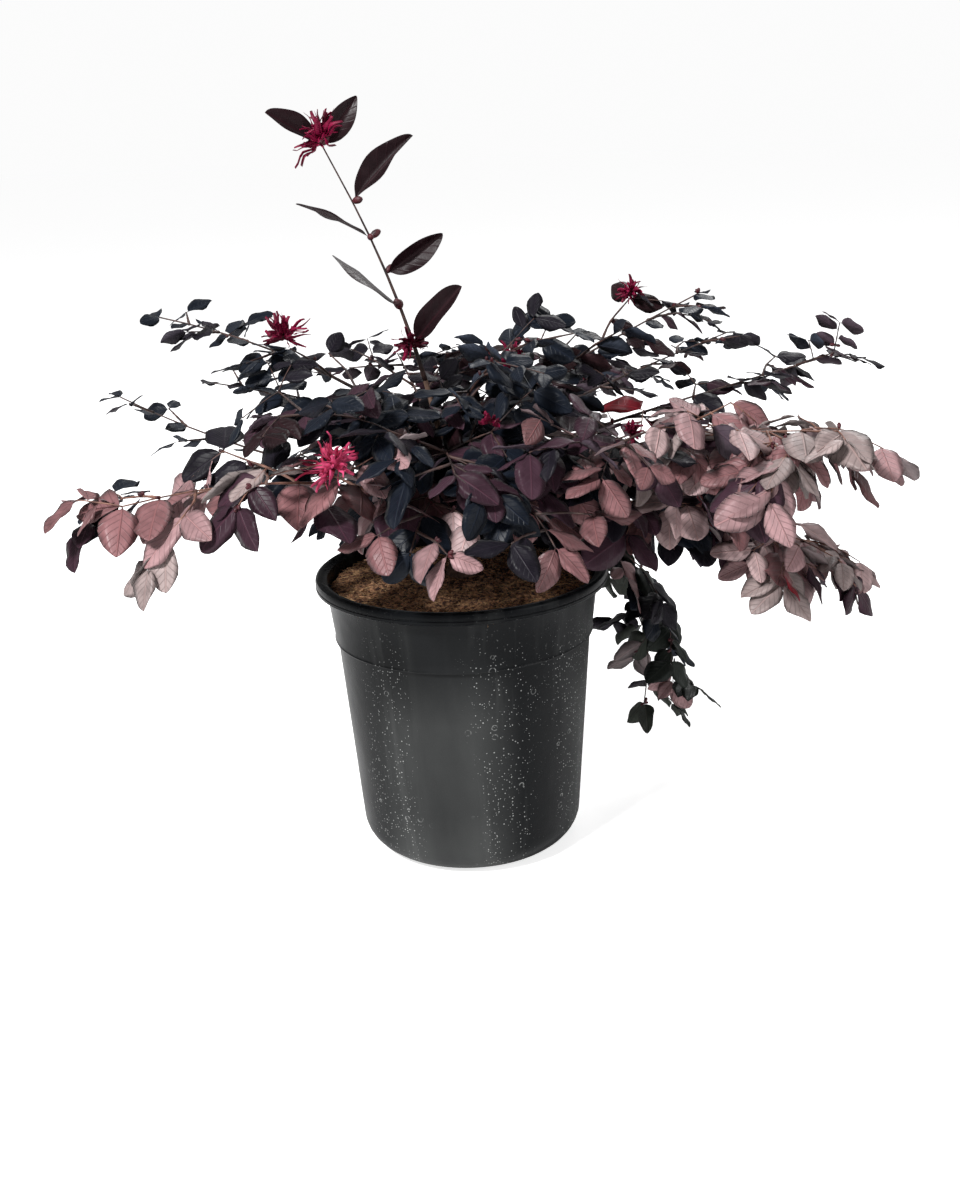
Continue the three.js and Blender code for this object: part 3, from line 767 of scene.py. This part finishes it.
def has_room(point, owner):
    """Whether a point lies nearer to its own stem than to any other, clear of the limbs and the pot."""
    if not clear_of_pot(point) or not clear_of_wood(point, WOOD_MARGIN):
        return False
    away = distances(point, stem_starts, stem_ways)
    own = away[stem_owners == owner].min()
    return away[stem_owners != owner].min() > own + SPACE_MARGIN


def spray_of(limb, level, points, rand, side, along_limb, bloom=False):
    """A leafy run of points: level 0 for a limb's own stem, 1 for its side twigs, 2 for the finer ones."""
    return SimpleNamespace(
        limb=limb, level=level, points=points, rand=rand, side=side, along_limb=along_limb, bloom=bloom,
    )


def side_twigs(owner, limb):
    nodes = len(limb.stem) - 1
    twigs = []
    for node in range(1, nodes if limb.twig else 0):
        rand = seeded(limb.seed + node)
        share = node / nodes
        side = 1 if node % 2 else -1
        length = limb.twig * mix(TWIG_LENGTH_ALONG_STEM, share) * mix(TWIG_LENGTHS, next(rand))
        bearing = limb.bearing + limb.turn * share + side * mix(TWIG_SPREAD, next(rand))
        climb = TWIG_FOLLOWS_STEM * mix(limb.climb[1:], share) + mix(TWIG_RISE, next(rand))
        steps = max(1, nearest_whole(length / TWIG_GAP))
        points = [limb.stem[node]]
        for step in range(1, steps + 1):
            way = heading(bearing + TWIG_ZIGZAG * side, climb - TWIG_SAG * step)
            spot = points[-1] + way * length / steps
            if not has_room(spot, owner) or not has_room((points[-1] + spot) / 2, owner):
                break
            points.append(spot)
            side = -side
        if len(points) > 1:
            twigs.append(spray_of(limb, 1, points, rand, side, share, node in limb.blooms))
    return twigs


def turned_about(way, axis, degrees):
    """way turned about a unit axis."""
    turn = math.radians(degrees)
    across = np.cross(axis, way)
    return way * math.cos(turn) + across * math.sin(turn) + axis * np.dot(axis, way) * (1 - math.cos(turn))


def face_of(point, along, faces=0):
    """Which way the leaves on a twig face: up on a level twig, outwards on a steep one."""
    face = unit(np.array([point[0], point[1], 0])) * 0.5 + np.array([0, 0, 1])
    if faces:
        face = heading(faces, 0)
    return unit(face - along * np.dot(face, along))


def finer_twig(start, along, side, lengths, droop, rand):
    """A short shoot that leaves a node to one side, lifts a little, and sags at its end."""
    face = face_of(start, along)
    spread = math.radians(mix(FINE_SPREAD, next(rand)))
    way = along * math.cos(spread) + np.cross(along, face) * side * math.sin(spread)
    way = unit(way + face * mix(FINE_LIFT, next(rand)) - np.array([0, 0, 0.6 * droop]))
    length = mix(lengths, next(rand))
    steps = max(2, nearest_whole(length / FINE_GAP))
    points = [start]
    for step in range(steps):
        way = unit(way + np.array([0, 0, -0.05]) + face * 0.12 * (-1) ** step * mix((0.3, 1), next(rand)))
        spot = points[-1] + way * length / steps
        if not (clear_of_pot(spot) and clear_of_soil(spot)):
            break
        if not (clear_of_wood(spot, FINE_MARGIN) and within_reach(spot)):
            break
        points.append(spot)
    return points


leader = limbs[0]
leader.stem[-1] = leader.stem[-1] + unit(leader.stem[-1] - leader.stem[-2]) * LEADER_RISE
sprays = []
for owner, limb in enumerate(limbs):
    stem = spray_of(limb, 0, limb.stem, seeded(limb.seed), 1, 0, 0 in limb.blooms)
    twigs = [stem, *side_twigs(owner, limb)]
    for index, twig in enumerate(twigs):
        sprays.append(twig)
        rand = seeded(limb.seed + 400 + 7 * index)
        points = twig.points
        for node in range(1, len(points) if limb.twig else 0):
            along = unit(points[node] - points[node - 1])
            crowd = limb.bushy * (1.25 - 0.5 * node / len(points))
            for side in (1, -1, 1) if twig.level else (1, -1):
                shoot = finer_twig(points[node], along, side, FINE_LENGTHS, limb.droop, rand)
                if next(rand) < crowd and len(shoot) > 1:
                    share = twig.along_limb if index else node / len(points)
                    sprays.append(spray_of(limb, 2, shoot, rand, side, share))
    if limb.twig:
        rand = seeded(limb.seed + 900)
        bough = finely(limb.bough, 7)
        for place_on_bough in SHOOTS_ON_BOUGH:
            along = unit(bough[place_on_bough] - bough[place_on_bough - 1])
            for side in (1, -1):
                shoot = finer_twig(bough[place_on_bough], along, side, SHOOT_LENGTHS, 0, rand)
                if next(rand) < limb.bushy + 0.2 and len(shoot) > 2:
                    sprays.append(spray_of(limb, 2, shoot, rand, side, 0))


def tubes(runs, radii, sides):
    """Corners and faces of closed tubes along runs with the same number of points, as thick as the radii say.
    """
    runs = np.array(runs)
    count, rings, _ = runs.shape
    across = np.tile([0.8, 0.6, 0.0], (count, 1))
    turns = 2 * np.pi * np.arange(sides) / sides
    corners = np.zeros((count, rings, sides, 3))
    for ring in range(rings):
        along = runs[:, min(ring + 1, rings - 1)] - runs[:, max(ring - 1, 0)]
        along /= np.linalg.norm(along, axis=1)[:, None]
        across -= along * (across * along).sum(1)[:, None]
        across /= np.linalg.norm(across, axis=1)[:, None]
        third = np.cross(along, across)
        circle = across[:, None] * np.cos(turns)[:, None] + third[:, None] * np.sin(turns)[:, None]
        corners[:, ring] = runs[:, ring, None] + circle * radii[:, ring, None, None]
    faces = [list(range(sides))[::-1], [(rings - 1) * sides + side for side in range(sides)]]
    for ring in range(rings - 1):
        for side in range(sides):
            a, b = ring * sides + side, ring * sides + (side + 1) % sides
            faces.append([a, b, b + sides, a + sides])
    return corners.reshape(count, rings * sides, 3), faces


runs = {"dark_stems": [], "ruddy_stems": [], "dark_twigs": [], "ruddy_twigs": []}
radii = {name: [] for name in runs}
for spray in sprays:
    # Lighter ruddy bark on limbs taken as sunlit, dark bark on the rest: painted light and shade
    shade = "ruddy" if spray.limb.colours in SUNLIT_KINDS else "dark"
    if spray.level == 0:
        name = f"{shade}_stems"
        runs[name].append(finely([spray.limb.bough[-1], *spray.points], STEM_POINTS) + STAND)
        radii[name].append(STEM_TIP + (BOUGH_TIP - STEM_TIP) * np.linspace(1, 0, STEM_POINTS) ** 2)
    else:
        name = f"{shade}_twigs"
        runs[name].append(finely(spray.points, TWIG_POINTS) + STAND)
        ends = TWIG_RADII if spray.level == 1 else FINE_RADII
        knobs = 1 + TWIG_KNOBS * np.cos(np.arange(TWIG_POINTS) * np.pi)
        radii[name].append(np.linspace(*ends, TWIG_POINTS) * knobs)
mass_nodes = [f"foliage_{limb.name}" for limb in limbs]
for shade, colours in YOUNG_BARK_BY_LIGHT.items():
    bumps = (900.0, 3.0, 0.0003)
    material = mottled(f"{shade}_young_bark", 0.6, colours, (130.0, 4.0), (0.34, 0.66), bumps)
    for name, sides in ((f"{shade}_stems", 10), (f"{shade}_twigs", 6)):
        piece = copies(name, *tubes(runs[name], np.array(radii[name]), sides))
        piece.data.materials.append(material)
        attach(piece, "root")
        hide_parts(*mass_nodes)


# The blossom
# Clusters of flowers at the ends of a few shoots. Each flower is a small red cup with narrow, crinkled strap
# petals, hot pink low on the plant and crimson higher up, so a cluster looks like a loose tassel.
FEWEST_FLOWERS = 2
MORE_FLOWERS = 7
PETALS_IN_FLOWER = 7
PETAL_LENGTHS = (8, 20)
PETAL_WIDTH = 2.9
PETAL_THICKNESS = 2.5
PETAL_STATIONS = 7
CUP_SIZE = 3
CLUSTER_ROOM = 0.7
PETAL_COLOURS = {"pink": ("94203e", "d2507a"), "crimson": ("48041c", "840f3a")}
# Limb: size of its cluster, length of its stalk, bearing and climb that it faces
CLUSTERS = {
    "leader": (1.08, 4, 262, 65),
    "upper_left": (0.95, 9, 250, 55),
    "low_left": (1.15, 17, 262, 35),
    "middle": (0.45, 12, 268, 40),
    "middle_top": (0.7, 8, 268, 50),
    "upper_right": (0.6, 6, 290, 60),
    "right": (0.5, 12, 268, 45),
    "back_right": (0.9, 8, 80, 50),
}
LEADER_FOOT_CLUSTER = (0.7, 8, 255, 15)

deselect()
bpy.ops.mesh.primitive_grid_add(x_subdivisions=PETAL_STATIONS - 1, y_subdivisions=2, size=0.002)
edit_all()
bpy.ops.mesh.extrude_region_shrink_fatten(TRANSFORM_OT_shrink_fatten={"value": -0.0001})
bpy.ops.mesh.select_all(action="SELECT")
bpy.ops.mesh.normals_make_consistent(inside=False)
stop_editing()
strap_corners, strap_faces = shape_of(bpy.context.object)
strap_corners[:, 0] = (strap_corners[:, 0] + 1) / 2

petals = {colour: [] for colour in PETAL_COLOURS}
cups = []
clusters = []
blooming = [spray for spray in sprays if spray.bloom]
flowering = [(spray.points[-1], spray.limb, CLUSTERS[spray.limb.name]) for spray in blooming]
flowering.append((leader.stem[1], leader, LEADER_FOOT_CLUSTER))
for number, (tip, limb, (full, stalk, bearing, climb)) in enumerate(flowering):
    rng = np.random.default_rng(limb.seed + number)
    colour = "pink" if limb.name == "low_left" else "crimson"
    facing = heading(bearing, climb)
    middle = tip + facing * stalk
    clusters.append((middle, facing, CLUSTER_ROOM * full * PETAL_LENGTHS[1]))
    for _ in range(nearest_whole(FEWEST_FLOWERS + MORE_FLOWERS * full)):
        flower_way = unit(rng.normal(size=3) + facing * 1.1)
        cup = middle + flower_way * rng.uniform(0.5, 4.5) * full
        cups.append((cup + STAND, flower_way, CUP_SIZE))
        for _ in range(PETALS_IN_FLOWER):
            way = unit(flower_way + rng.normal(size=3) * 0.5)
            side = unit(np.cross(way, rng.normal(size=3)))
            length = full * rng.uniform(*PETAL_LENGTHS)
            petals[colour].append((cup + STAND, way, side, length, *rng.uniform(-1, 1, 4)))


def parts_of(rows, vectors):
    """The rows' parts as arrays: so many vectors first, then plain numbers as columns."""
    parts = [np.array(part) for part in zip(*rows)]
    return [*parts[:vectors], *[part[:, None] for part in parts[vectors:]]]


def grown_petals(name, rows):
    """Every petal of one colour in one mesh, each drooping, waved and twisted in its own way."""
    start, way, side, length, bend, twist, wave, narrow = parts_of(rows, 3)
    third = np.cross(way, side)
    share, half, depth = strap_corners.T
    turn = 1.6 * twist * share
    width = PETAL_WIDTH * (0.8 + 0.25 * narrow)
    flat = 0.5 * half * width * (0.55 + 0.45 * np.sin(np.pi * np.clip(share * 0.8 + 0.15, 0, 1)))
    droop = length * (0.4 * bend * share ** 2 + 0.07 * np.sin(8 * share + 6 * wave))
    spots = start[:, None] + way[:, None] * (share * length * (1 - 0.18 * bend ** 2 * share))[..., None]
    spots += side[:, None] * (flat * np.cos(turn) + 0.1 * length * wave * share ** 2)[..., None]
    spots += third[:, None] * (flat * np.sin(turn) + droop + PETAL_THICKNESS * depth)[..., None]
    return copies(name, spots, strap_faces)


for colour, shades in PETAL_COLOURS.items():
    piece = grown_petals(f"{colour}_petals", petals[colour])
    bumps = (900.0, 2.0, 0.0002)
    material = mottled(f"{colour}_petal", 0.5, shades, (60.0, 2.0), (0.35, 0.65), bumps, gloss=0.2)
    piece.data.materials.append(material)
    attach(piece, "root")
    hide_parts(*mass_nodes)


# The leaves
# Oval blades on short stalks, folded a little along the midrib, fuller on one side, and rippled at the edge.
# They grow in two ranks. Their tints are partly their own colour and partly painted light and shade: leaves
# taken as shaded are near black with a blue or purple cast, those taken as sunlit dusty rose to pale, and a
# few new ones red. Underneath they are a dull mauve.
LEAF_WIDTH = 0.7
LEAF_THICKNESS = 0.012
# Each station's place along the leaf, and how much of its full width it has there
LEAF_STATIONS = (
    (0, 0), (0.07, 0.06), (0.11, 0.3), (0.18, 0.6), (0.28, 0.83), (0.41, 0.97), (0.55, 1), (0.69, 0.93),
    (0.81, 0.78), (0.91, 0.55), (0.97, 0.3), (1, 0),
)
FULLER_SIDE = 0.07
LEAF_POINT = 0.6
LEAF_ARCH = 0.1
LEAF_RIPPLE = 0.05
LEAF_FOLD = (0.03, 0.3)
SHUT_FOLD = 0.3
LEAF_SPREAD = (42, 68)
LEAF_LIFT = (-0.2, 0.3)
LEAF_ROLL = (-35, 35)
LEAF_CURL = (0.04, 0.2)
LEAF_LENGTHS = (0.75, 1.15)
LEAF_SHARE = (1, 0.95, 0.8)
LEAF_TRIES = (1, 0.82, 0.66)
LEAF_TAPER = (1.12, 0.78)
LEAF_APART = 0.26
LEAF_MARGIN = 0.8
CLUSTER_VIEW = 40
# Dark tints are partly painted shade and rose, pale, silver and ash partly painted sunlight
# Colour of the top and of the underside
TINTS = {
    "aubergine": ("15121a", "2f2a33"),
    "navy": ("0e141e", "262c38"),
    "brown": ("1e0d11", "3b2327"),
    "maroon": ("1b090e", "311b20"),
    "plum": ("331f29", "483b45"),
    "rose": ("785254", "79676a"),
    "pale": ("967577", "8b7e7f"),
    "silver": ("8f7f7d", "827876"),
    "ash": ("b79b9b", "a08f8f"),
    "red": ("7c1c28", "75404a"),
    "green": ("181d19", "454a43"),
}
SPRAY_TINTS = {
    "dark": ("aubergine", "navy", "aubergine", "navy", "navy", "brown", "navy", "plum", "aubergine", "navy"),
    "brown": ("brown", "aubergine", "brown", "navy", "aubergine", "brown", "plum"),
    "maroon": ("maroon",),
    "rosy": ("rose", "pale", "rose", "rose", "pale", "rose", "plum", "rose", "pale", "silver"),
    "dusty": ("silver", "rose", "ash", "silver", "plum", "rose", "pale", "ash", "rose", "silver"),
    "pale": ("ash", "pale", "ash", "rose", "plum", "ash", "silver", "pale"),
    "front": ("pale", "rose", "ash", "plum", "pale", "navy"),
    "wine": ("plum", "rose", "plum", "aubergine", "rose", "plum"),
    "mixed": ("plum", "aubergine", "navy", "plum", "rose", "aubergine", "navy", "plum", "aubergine", "navy"),
    "green": ("green", "green", "navy", "green", "aubergine", "green", "pale"),
}
SUNLIT_TINTS = ("rose", "pale", "silver", "ash")
# Roughness, gloss, depth of the veins, and how light the veins and the midrib are beside the blade
SUNLIT_TOP = (0.45, 0.32, 0.0005, 0.62, 1.3)
SHADED_TOP = (0.4, 0.13, 0.0002, 1.3, 2.0)
UNDERSIDE = (0.7, 0.2, 0.0003, 0.8, 1.3)
MIDRIB = (0.07, 0.02)
VEINS_ON_LEAF = 7.0
VEIN_SLANT = 0.32
VEIN = (0.11, 0.02)
RED_SHARE = 0.06
# Sprays taken as shaded get darker tints as painted shade: how far a rosy limb's spray must end behind its
# start, and how far along dusty and pale limbs the inner sprays reach
SHADED_SIDE = 12
SHADED_BASES = {"dusty": 0.3, "pale": 0.45}
VIEWED_CLIMB = 25


def leaf_blade(finer=False):
    """A flat leaf of unit length and width: its corners, its faces, and each face's side, 0 for the top."""
    steps = len(LEAF_STATIONS) - 1
    sheets = []
    for rows_across, height in ((4, LEAF_THICKNESS / 2), (2, -LEAF_THICKNESS / 2)):
        deselect()
        bpy.ops.mesh.primitive_grid_add(x_subdivisions=steps, y_subdivisions=rows_across, size=2)
        sheet = bpy.context.object
        for corner in sheet.data.vertices:
            share, half = LEAF_STATIONS[nearest_whole((corner.co.x + 1) / 2 * steps)]
            side = corner.co.y
            fuller = 1 + FULLER_SIDE * side * math.sin(math.pi * share)
            corner.co = (share / 1000, side * half * fuller / 1000, height * half * (1 - abs(side)) / 1000)
        sheets.append(sheet)
    deselect()
    for sheet in sheets:
        sheet.select_set(True)
    bpy.context.view_layer.objects.active = sheets[0]
    bpy.ops.object.join()
    edit_all()
    bpy.ops.mesh.remove_doubles(threshold=1e-7)
    bpy.ops.mesh.normals_make_consistent(inside=False)
    stop_editing()
    blade = bpy.context.object
    if finer:
        blade.modifiers.new("finer", "SUBSURF")
        bpy.ops.object.modifier_apply(modifier="finer")
    sides = [0 if face.normal.z > 0 else 1 for face in blade.data.polygons]
    return *shape_of(blade), sides


small_blade = leaf_blade()
large_blade = leaf_blade(finer=True)


def open_to_view(spots):
    """Whether a leaf leaves every flower cluster, and the space that it faces, free."""
    for middle, facing, room in clusters:
        for spot in spots:
            ahead = min(max(np.dot(spot - middle, facing), 0), CLUSTER_VIEW)
            if np.linalg.norm(spot - middle - facing * ahead) < room:
                return False
    return True


leaves = {tint: [] for tint in TINTS}
middles = np.full((1, 3), 1e6)
for number, spray in enumerate(sprays):
    limb, points, rand, level = spray.limb, spray.points, spray.rand, spray.level
    colours = limb.colours
    # Sprays behind a rosy limb and inner sprays of dusty and pale limbs get darker tints: painted shade
    if colours == "rosy" and points[-1][1] - points[0][1] > SHADED_SIDE:
        tints = SPRAY_TINTS["dark"]
    elif level and spray.along_limb < SHADED_BASES.get(colours, 0):
        tints = SPRAY_TINTS["mixed"]
    else:
        tints = SPRAY_TINTS[colours]
    choice = seeded(limb.seed + 13 * number + 5)
    next(choice)
    tint = tints[int(next(choice) * len(tints))]
    if level == 2 and next(choice) < RED_SHARE and colours in SUNLIT_KINDS:
        tint = "red"
    end = len(points) - 1
    for node in range(1, end + 1):
        along = unit(points[node] - points[node - 1])
        hand = spray.side if node % 2 else -spray.side
        for side in (hand, -hand) if node == end else (hand,):
            face = face_of(points[node], along, limb.faces)
            growth = np.array([0, 0, 1]) if limb.faces else along
            spread = math.radians(mix(LEAF_SPREAD, next(rand)))
            axis = growth * math.cos(spread) + np.cross(growth, face) * side * math.sin(spread)
            axis = axis + face * mix(LEAF_LIFT, next(rand))
            axis = unit(axis - np.array([0, 0, limb.droop]))
            viewed = limb.faces and (side > 0 or node == end)
            if limb.faces:
                face = heading(limb.faces, VIEWED_CLIMB) if viewed else growth
            face = unit(face - axis * np.dot(face, axis))
            face = turned_about(face, axis, mix(LEAF_ROLL, next(rand)))
            fold = mix(LEAF_FOLD, next(choice)) + (SHUT_FOLD if viewed else 0)
            full = limb.leaf * LEAF_SHARE[level] * mix(LEAF_LENGTHS, next(rand))
            if not limb.faces:
                full *= mix(LEAF_TAPER, spray.along_limb + (node / end) * (level == 0))
            curl = mix(LEAF_CURL, next(rand))
            root = points[node] - along * 0.5
            across = np.cross(axis, face) * 0.5 * LEAF_WIDTH
            for share in LEAF_TRIES:
                length = full * share
                ways = (axis, axis * 0.5, axis * 0.5 + across, axis * 0.5 - across)
                spots = [root + way * length for way in ways]
                if level == 2 and not all(clear_of_soil(spot) for spot in spots):
                    continue
                if np.linalg.norm(middles - spots[1], axis=1).min() < LEAF_APART * length:
                    break
                if not limb.faces and not open_to_view(spots):
                    continue
                if all(clear_of_pot(spot) and clear_of_wood(spot, LEAF_MARGIN) for spot in spots):
                    if all(within_reach(spot) for spot in spots):
                        middles = np.vstack([middles, spots[1]])
                        shape = (length, curl, fold, next(choice), next(choice))
                        leaves[tint].append((root + STAND, axis, face, *shape))
                        break


vein_pattern, place, masks = mask_group("vein_pattern", "Midrib", "Veins")
from_rib = sums("ABSOLUTE", axis_of(place, "Y"))
slanted = less(axis_of(place, "X"), times(from_rib, VEIN_SLANT))
waves = sums("PINGPONG", times(slanted, VEINS_ON_LEAF), 0.5)
feed(between(from_rib, *MIDRIB), masks["Midrib"])
feed(between(waves, *VEIN), masks["Veins"])


def lit(colour, red, green, blue):
    """The colour with its red, green and blue made so many times as bright."""
    return [min(1, shade * factor) for shade, factor in zip(colour, (red, green, blue))] + [1]


def leaf_finish(name, colour, roughness, gloss, vein_depth, vein_light, rib_light):
    """A satin leaf surface: mottled, a little different from leaf to leaf, with its veins drawn and sunk."""
    material, shader, place = finish(name, roughness, sheen=0.03, gloss=gloss)
    shader.inputs["Sheen Roughness"].default_value = 0.4
    leaf_place = add("ShaderNodeAttribute", tree=place.id_data, attribute_name="leaf_place").outputs["Vector"]
    midrib, veins = masks_of(vein_pattern, leaf_place, "Midrib", "Veins")
    tone = axis_of(leaf_place, "Z")
    mottle = clouds(place, 110.0, 5.0)
    share = plus(times(tone, 0.45), times(mottle, 0.9))
    dark = lit(colour, 0.55, 0.55, 0.55)
    light = [min(1, shade * 1.45 + 0.004) for shade in colour[:3]] + [1]
    blade = tinted(between(share, 0.3, 1.05), dark, light)
    vein_colour = lit(colour, vein_light, vein_light, vein_light)
    blade = tinted(times(veins, 0.55), blade, vein_colour)
    rib_colour = lit(colour, rib_light, rib_light * 0.9, rib_light * 0.88)
    blade = tinted(times(midrib, 0.7), blade, rib_colour)
    feed(blade, shader.inputs["Base Color"])
    rough = between(mottle, 0.3, 0.7, roughness - 0.08, roughness + 0.1)
    feed(rough, shader.inputs["Roughness"])
    drawn = larger(midrib, times(veins, 0.5))
    raised = less(times(clouds(place, 700.0, 2.0), 0.35), drawn)
    relief(shader, raised, vein_depth)
    return material


def grown_leaves(name, rows, blade):
    """Every leaf of one colour in one mesh, each bent, folded and rippled in its own way."""
    blade_corners, blade_faces, blade_sides = blade
    root, axis, face, length, curl, fold, ripple, tone = parts_of(rows, 3)
    across = np.cross(axis, face)
    share, half, depth = blade_corners.T
    shut = 1 / np.sqrt(1 + 4 * fold ** 2)
    lift = fold * shut * LEAF_WIDTH * np.abs(half) - LEAF_ARCH * half ** 2 - curl * share ** 2 + depth
    lift = lift + LEAF_RIPPLE * np.sin(9 * share + 12 * ripple + 2 * np.sign(half)) * half ** 2
    breadth = half * (1 - LEAF_POINT * ripple * share ** 4)
    spots = root[:, None] + axis[:, None] * (share * length)[..., None]
    spots += across[:, None] * (0.5 * shut * LEAF_WIDTH * breadth * length)[..., None]
    spots += face[:, None] * (lift * length)[..., None]
    piece = copies(name, spots, blade_faces, blade_sides)
    where = np.zeros((len(rows), len(blade_corners), 3), np.float32)
    for axis_number, value in enumerate((share, half, tone)):
        where[..., axis_number] = value
    leaf_place = piece.data.attributes.new("leaf_place", "FLOAT_VECTOR", "POINT")
    leaf_place.data.foreach_set("vector", where.ravel())
    return piece


for tint, rows in leaves.items():
    top_colour, under_colour = (linear(code) for code in TINTS[tint])
    sunlit = tint in SUNLIT_TINTS
    top = leaf_finish(f"leaf_{tint}", top_colour, *(SUNLIT_TOP if sunlit else SHADED_TOP))
    piece = grown_leaves(f"leaves_{tint}", rows, large_blade if tint == "maroon" else small_blade)
    piece.data.materials.append(top)
    piece.data.materials.append(leaf_finish(f"leaf_{tint}_underside", under_colour, *UNDERSIDE))
    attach(piece, "root")
    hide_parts(*mass_nodes)


# The buds
# Small dark red knobs that sit in twos and threes where leaves meet the twig, larger on the leader, and the
# cups that hold the petals. They are all of one soft red tissue.
BUD_SHAPE = (1.35, 0.8, 0.8)
# How many of the nodes have buds on a stem, on a side twig and on a finer one
BUD_SHARES = (0.16, 0.16, 0.064)
BUD_SIZES = (2.2, 3.6)
LEADER_BUD_SIZES = (5.5, 8)
MOST_BUDS = 3
BUD_COLOURS = ("24050d", "4c0f1a")

deselect()
bpy.ops.mesh.primitive_ico_sphere_add(subdivisions=2, radius=0.001)
edit_all()
bpy.ops.transform.resize(value=BUD_SHAPE)
stop_editing()
bud_corners, bud_faces = shape_of(bpy.context.object)
for spray in sprays:
    limb, points = spray.limb, spray.points
    rng = np.random.default_rng(limb.seed + len(points) + int(1000 * abs(points[-1][0])))
    for node in range(1, len(points)):
        along = unit(points[node] - points[node - 1])
        leading = limb.name == "leader"
        if rng.uniform() > (1 if leading else BUD_SHARES[spray.level]):
            continue
        for _ in range(rng.integers(1, MOST_BUDS + 1)):
            way = unit(rng.normal(size=3) + along)
            size = rng.uniform(*(LEADER_BUD_SIZES if leading else BUD_SIZES))
            cups.append((points[node] + STAND + way * size * 0.7, way, size))
middle, way, size = parts_of(cups, 2)
side = np.cross(way, [0.3, 0.5, 0.8])
side /= np.linalg.norm(side, axis=1)[:, None]
axes = np.stack([way, side, np.cross(way, side)], 1)
spots = np.einsum("ncj,njk->nck", bud_corners[None] * size[:, None] / 2, axes) + middle[:, None]
buds = copies("buds", spots, bud_faces)
bumps = (1200.0, 2.0, 0.0003)
red = mottled("red_bud", 0.55, BUD_COLOURS, patches=(200.0, 3.0), spread=(0.35, 0.65), bumps=bumps)
buds.data.materials.append(red)
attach(buds, "root")
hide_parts(*mass_nodes)


# The studio
# A plain pale floor under even light, with a soft lamp high on the left in front, weaker ones at the right
# and behind, and the camera where the photograph was taken from.
FLOOR_SIZE = 60
WORLD_LIGHT = 0.27
FLOOR_GLOW = 0.71
BACKDROP = 0.97
# Name, place, size across and power
LAMPS = (
    ("key", (-1.3, -1.5, 2.3), 0.5, 110),
    ("fill", (2.2, -1.4, 1.0), 1.2, 17),
    ("back", (0.8, 1.9, 2.0), 1.2, 27),
)
LIT_POINT = (0, 0, 0.28)
CAMERA_PLACE = (0, -0.96349878, 0.50304027)
CAMERA_TURN = (71.547463, 2.291526, -1.499360)
CAMERA_LENS = 42
SENSOR_WIDTH = 36

deselect()
bpy.ops.mesh.primitive_plane_add(size=FLOOR_SIZE)
floor = bpy.context.object
floor.name = "floor"
material, shader, place = finish("pale_floor", 0.9)
shader.inputs["Base Color"].default_value = linear("fafafa")
shader.inputs["Emission Color"].default_value = (1, 1, 1, 1)
seen = add("ShaderNodeLightPath", tree=material.node_tree).outputs["Is Camera Ray"]
feed(times(seen, FLOOR_GLOW), shader.inputs["Emission Strength"])
floor.data.materials.append(material)
world = bpy.data.worlds.new("studio")
bpy.context.scene.world = world
world.use_nodes = True
backdrop = world.node_tree.nodes["Background"]
backdrop.inputs["Color"].default_value = (1, 1, 1, 1)
seen = add("ShaderNodeLightPath", tree=world.node_tree).outputs["Is Camera Ray"]
feed(between(seen, 0.0, 1.0, WORLD_LIGHT, BACKDROP), backdrop.inputs["Strength"])
for name, spot, size, power in LAMPS:
    bpy.ops.object.light_add(type="AREA", location=spot)
    lamp = bpy.context.object
    lamp.name = name
    lamp.data.shape = "DISK"
    lamp.data.size = size
    lamp.data.energy = power
    aim = Vector(LIT_POINT) - Vector(spot)
    lamp.rotation_euler = aim.to_track_quat("-Z", "Y").to_euler()
bpy.ops.object.camera_add(location=CAMERA_PLACE, rotation=[math.radians(angle) for angle in CAMERA_TURN])
camera = bpy.context.object
camera.data.lens = CAMERA_LENS
camera.data.sensor_width = SENSOR_WIDTH
camera.data.clip_start = 0.01
bpy.context.scene.camera = camera
bpy.context.scene.view_settings.view_transform = "Standard"
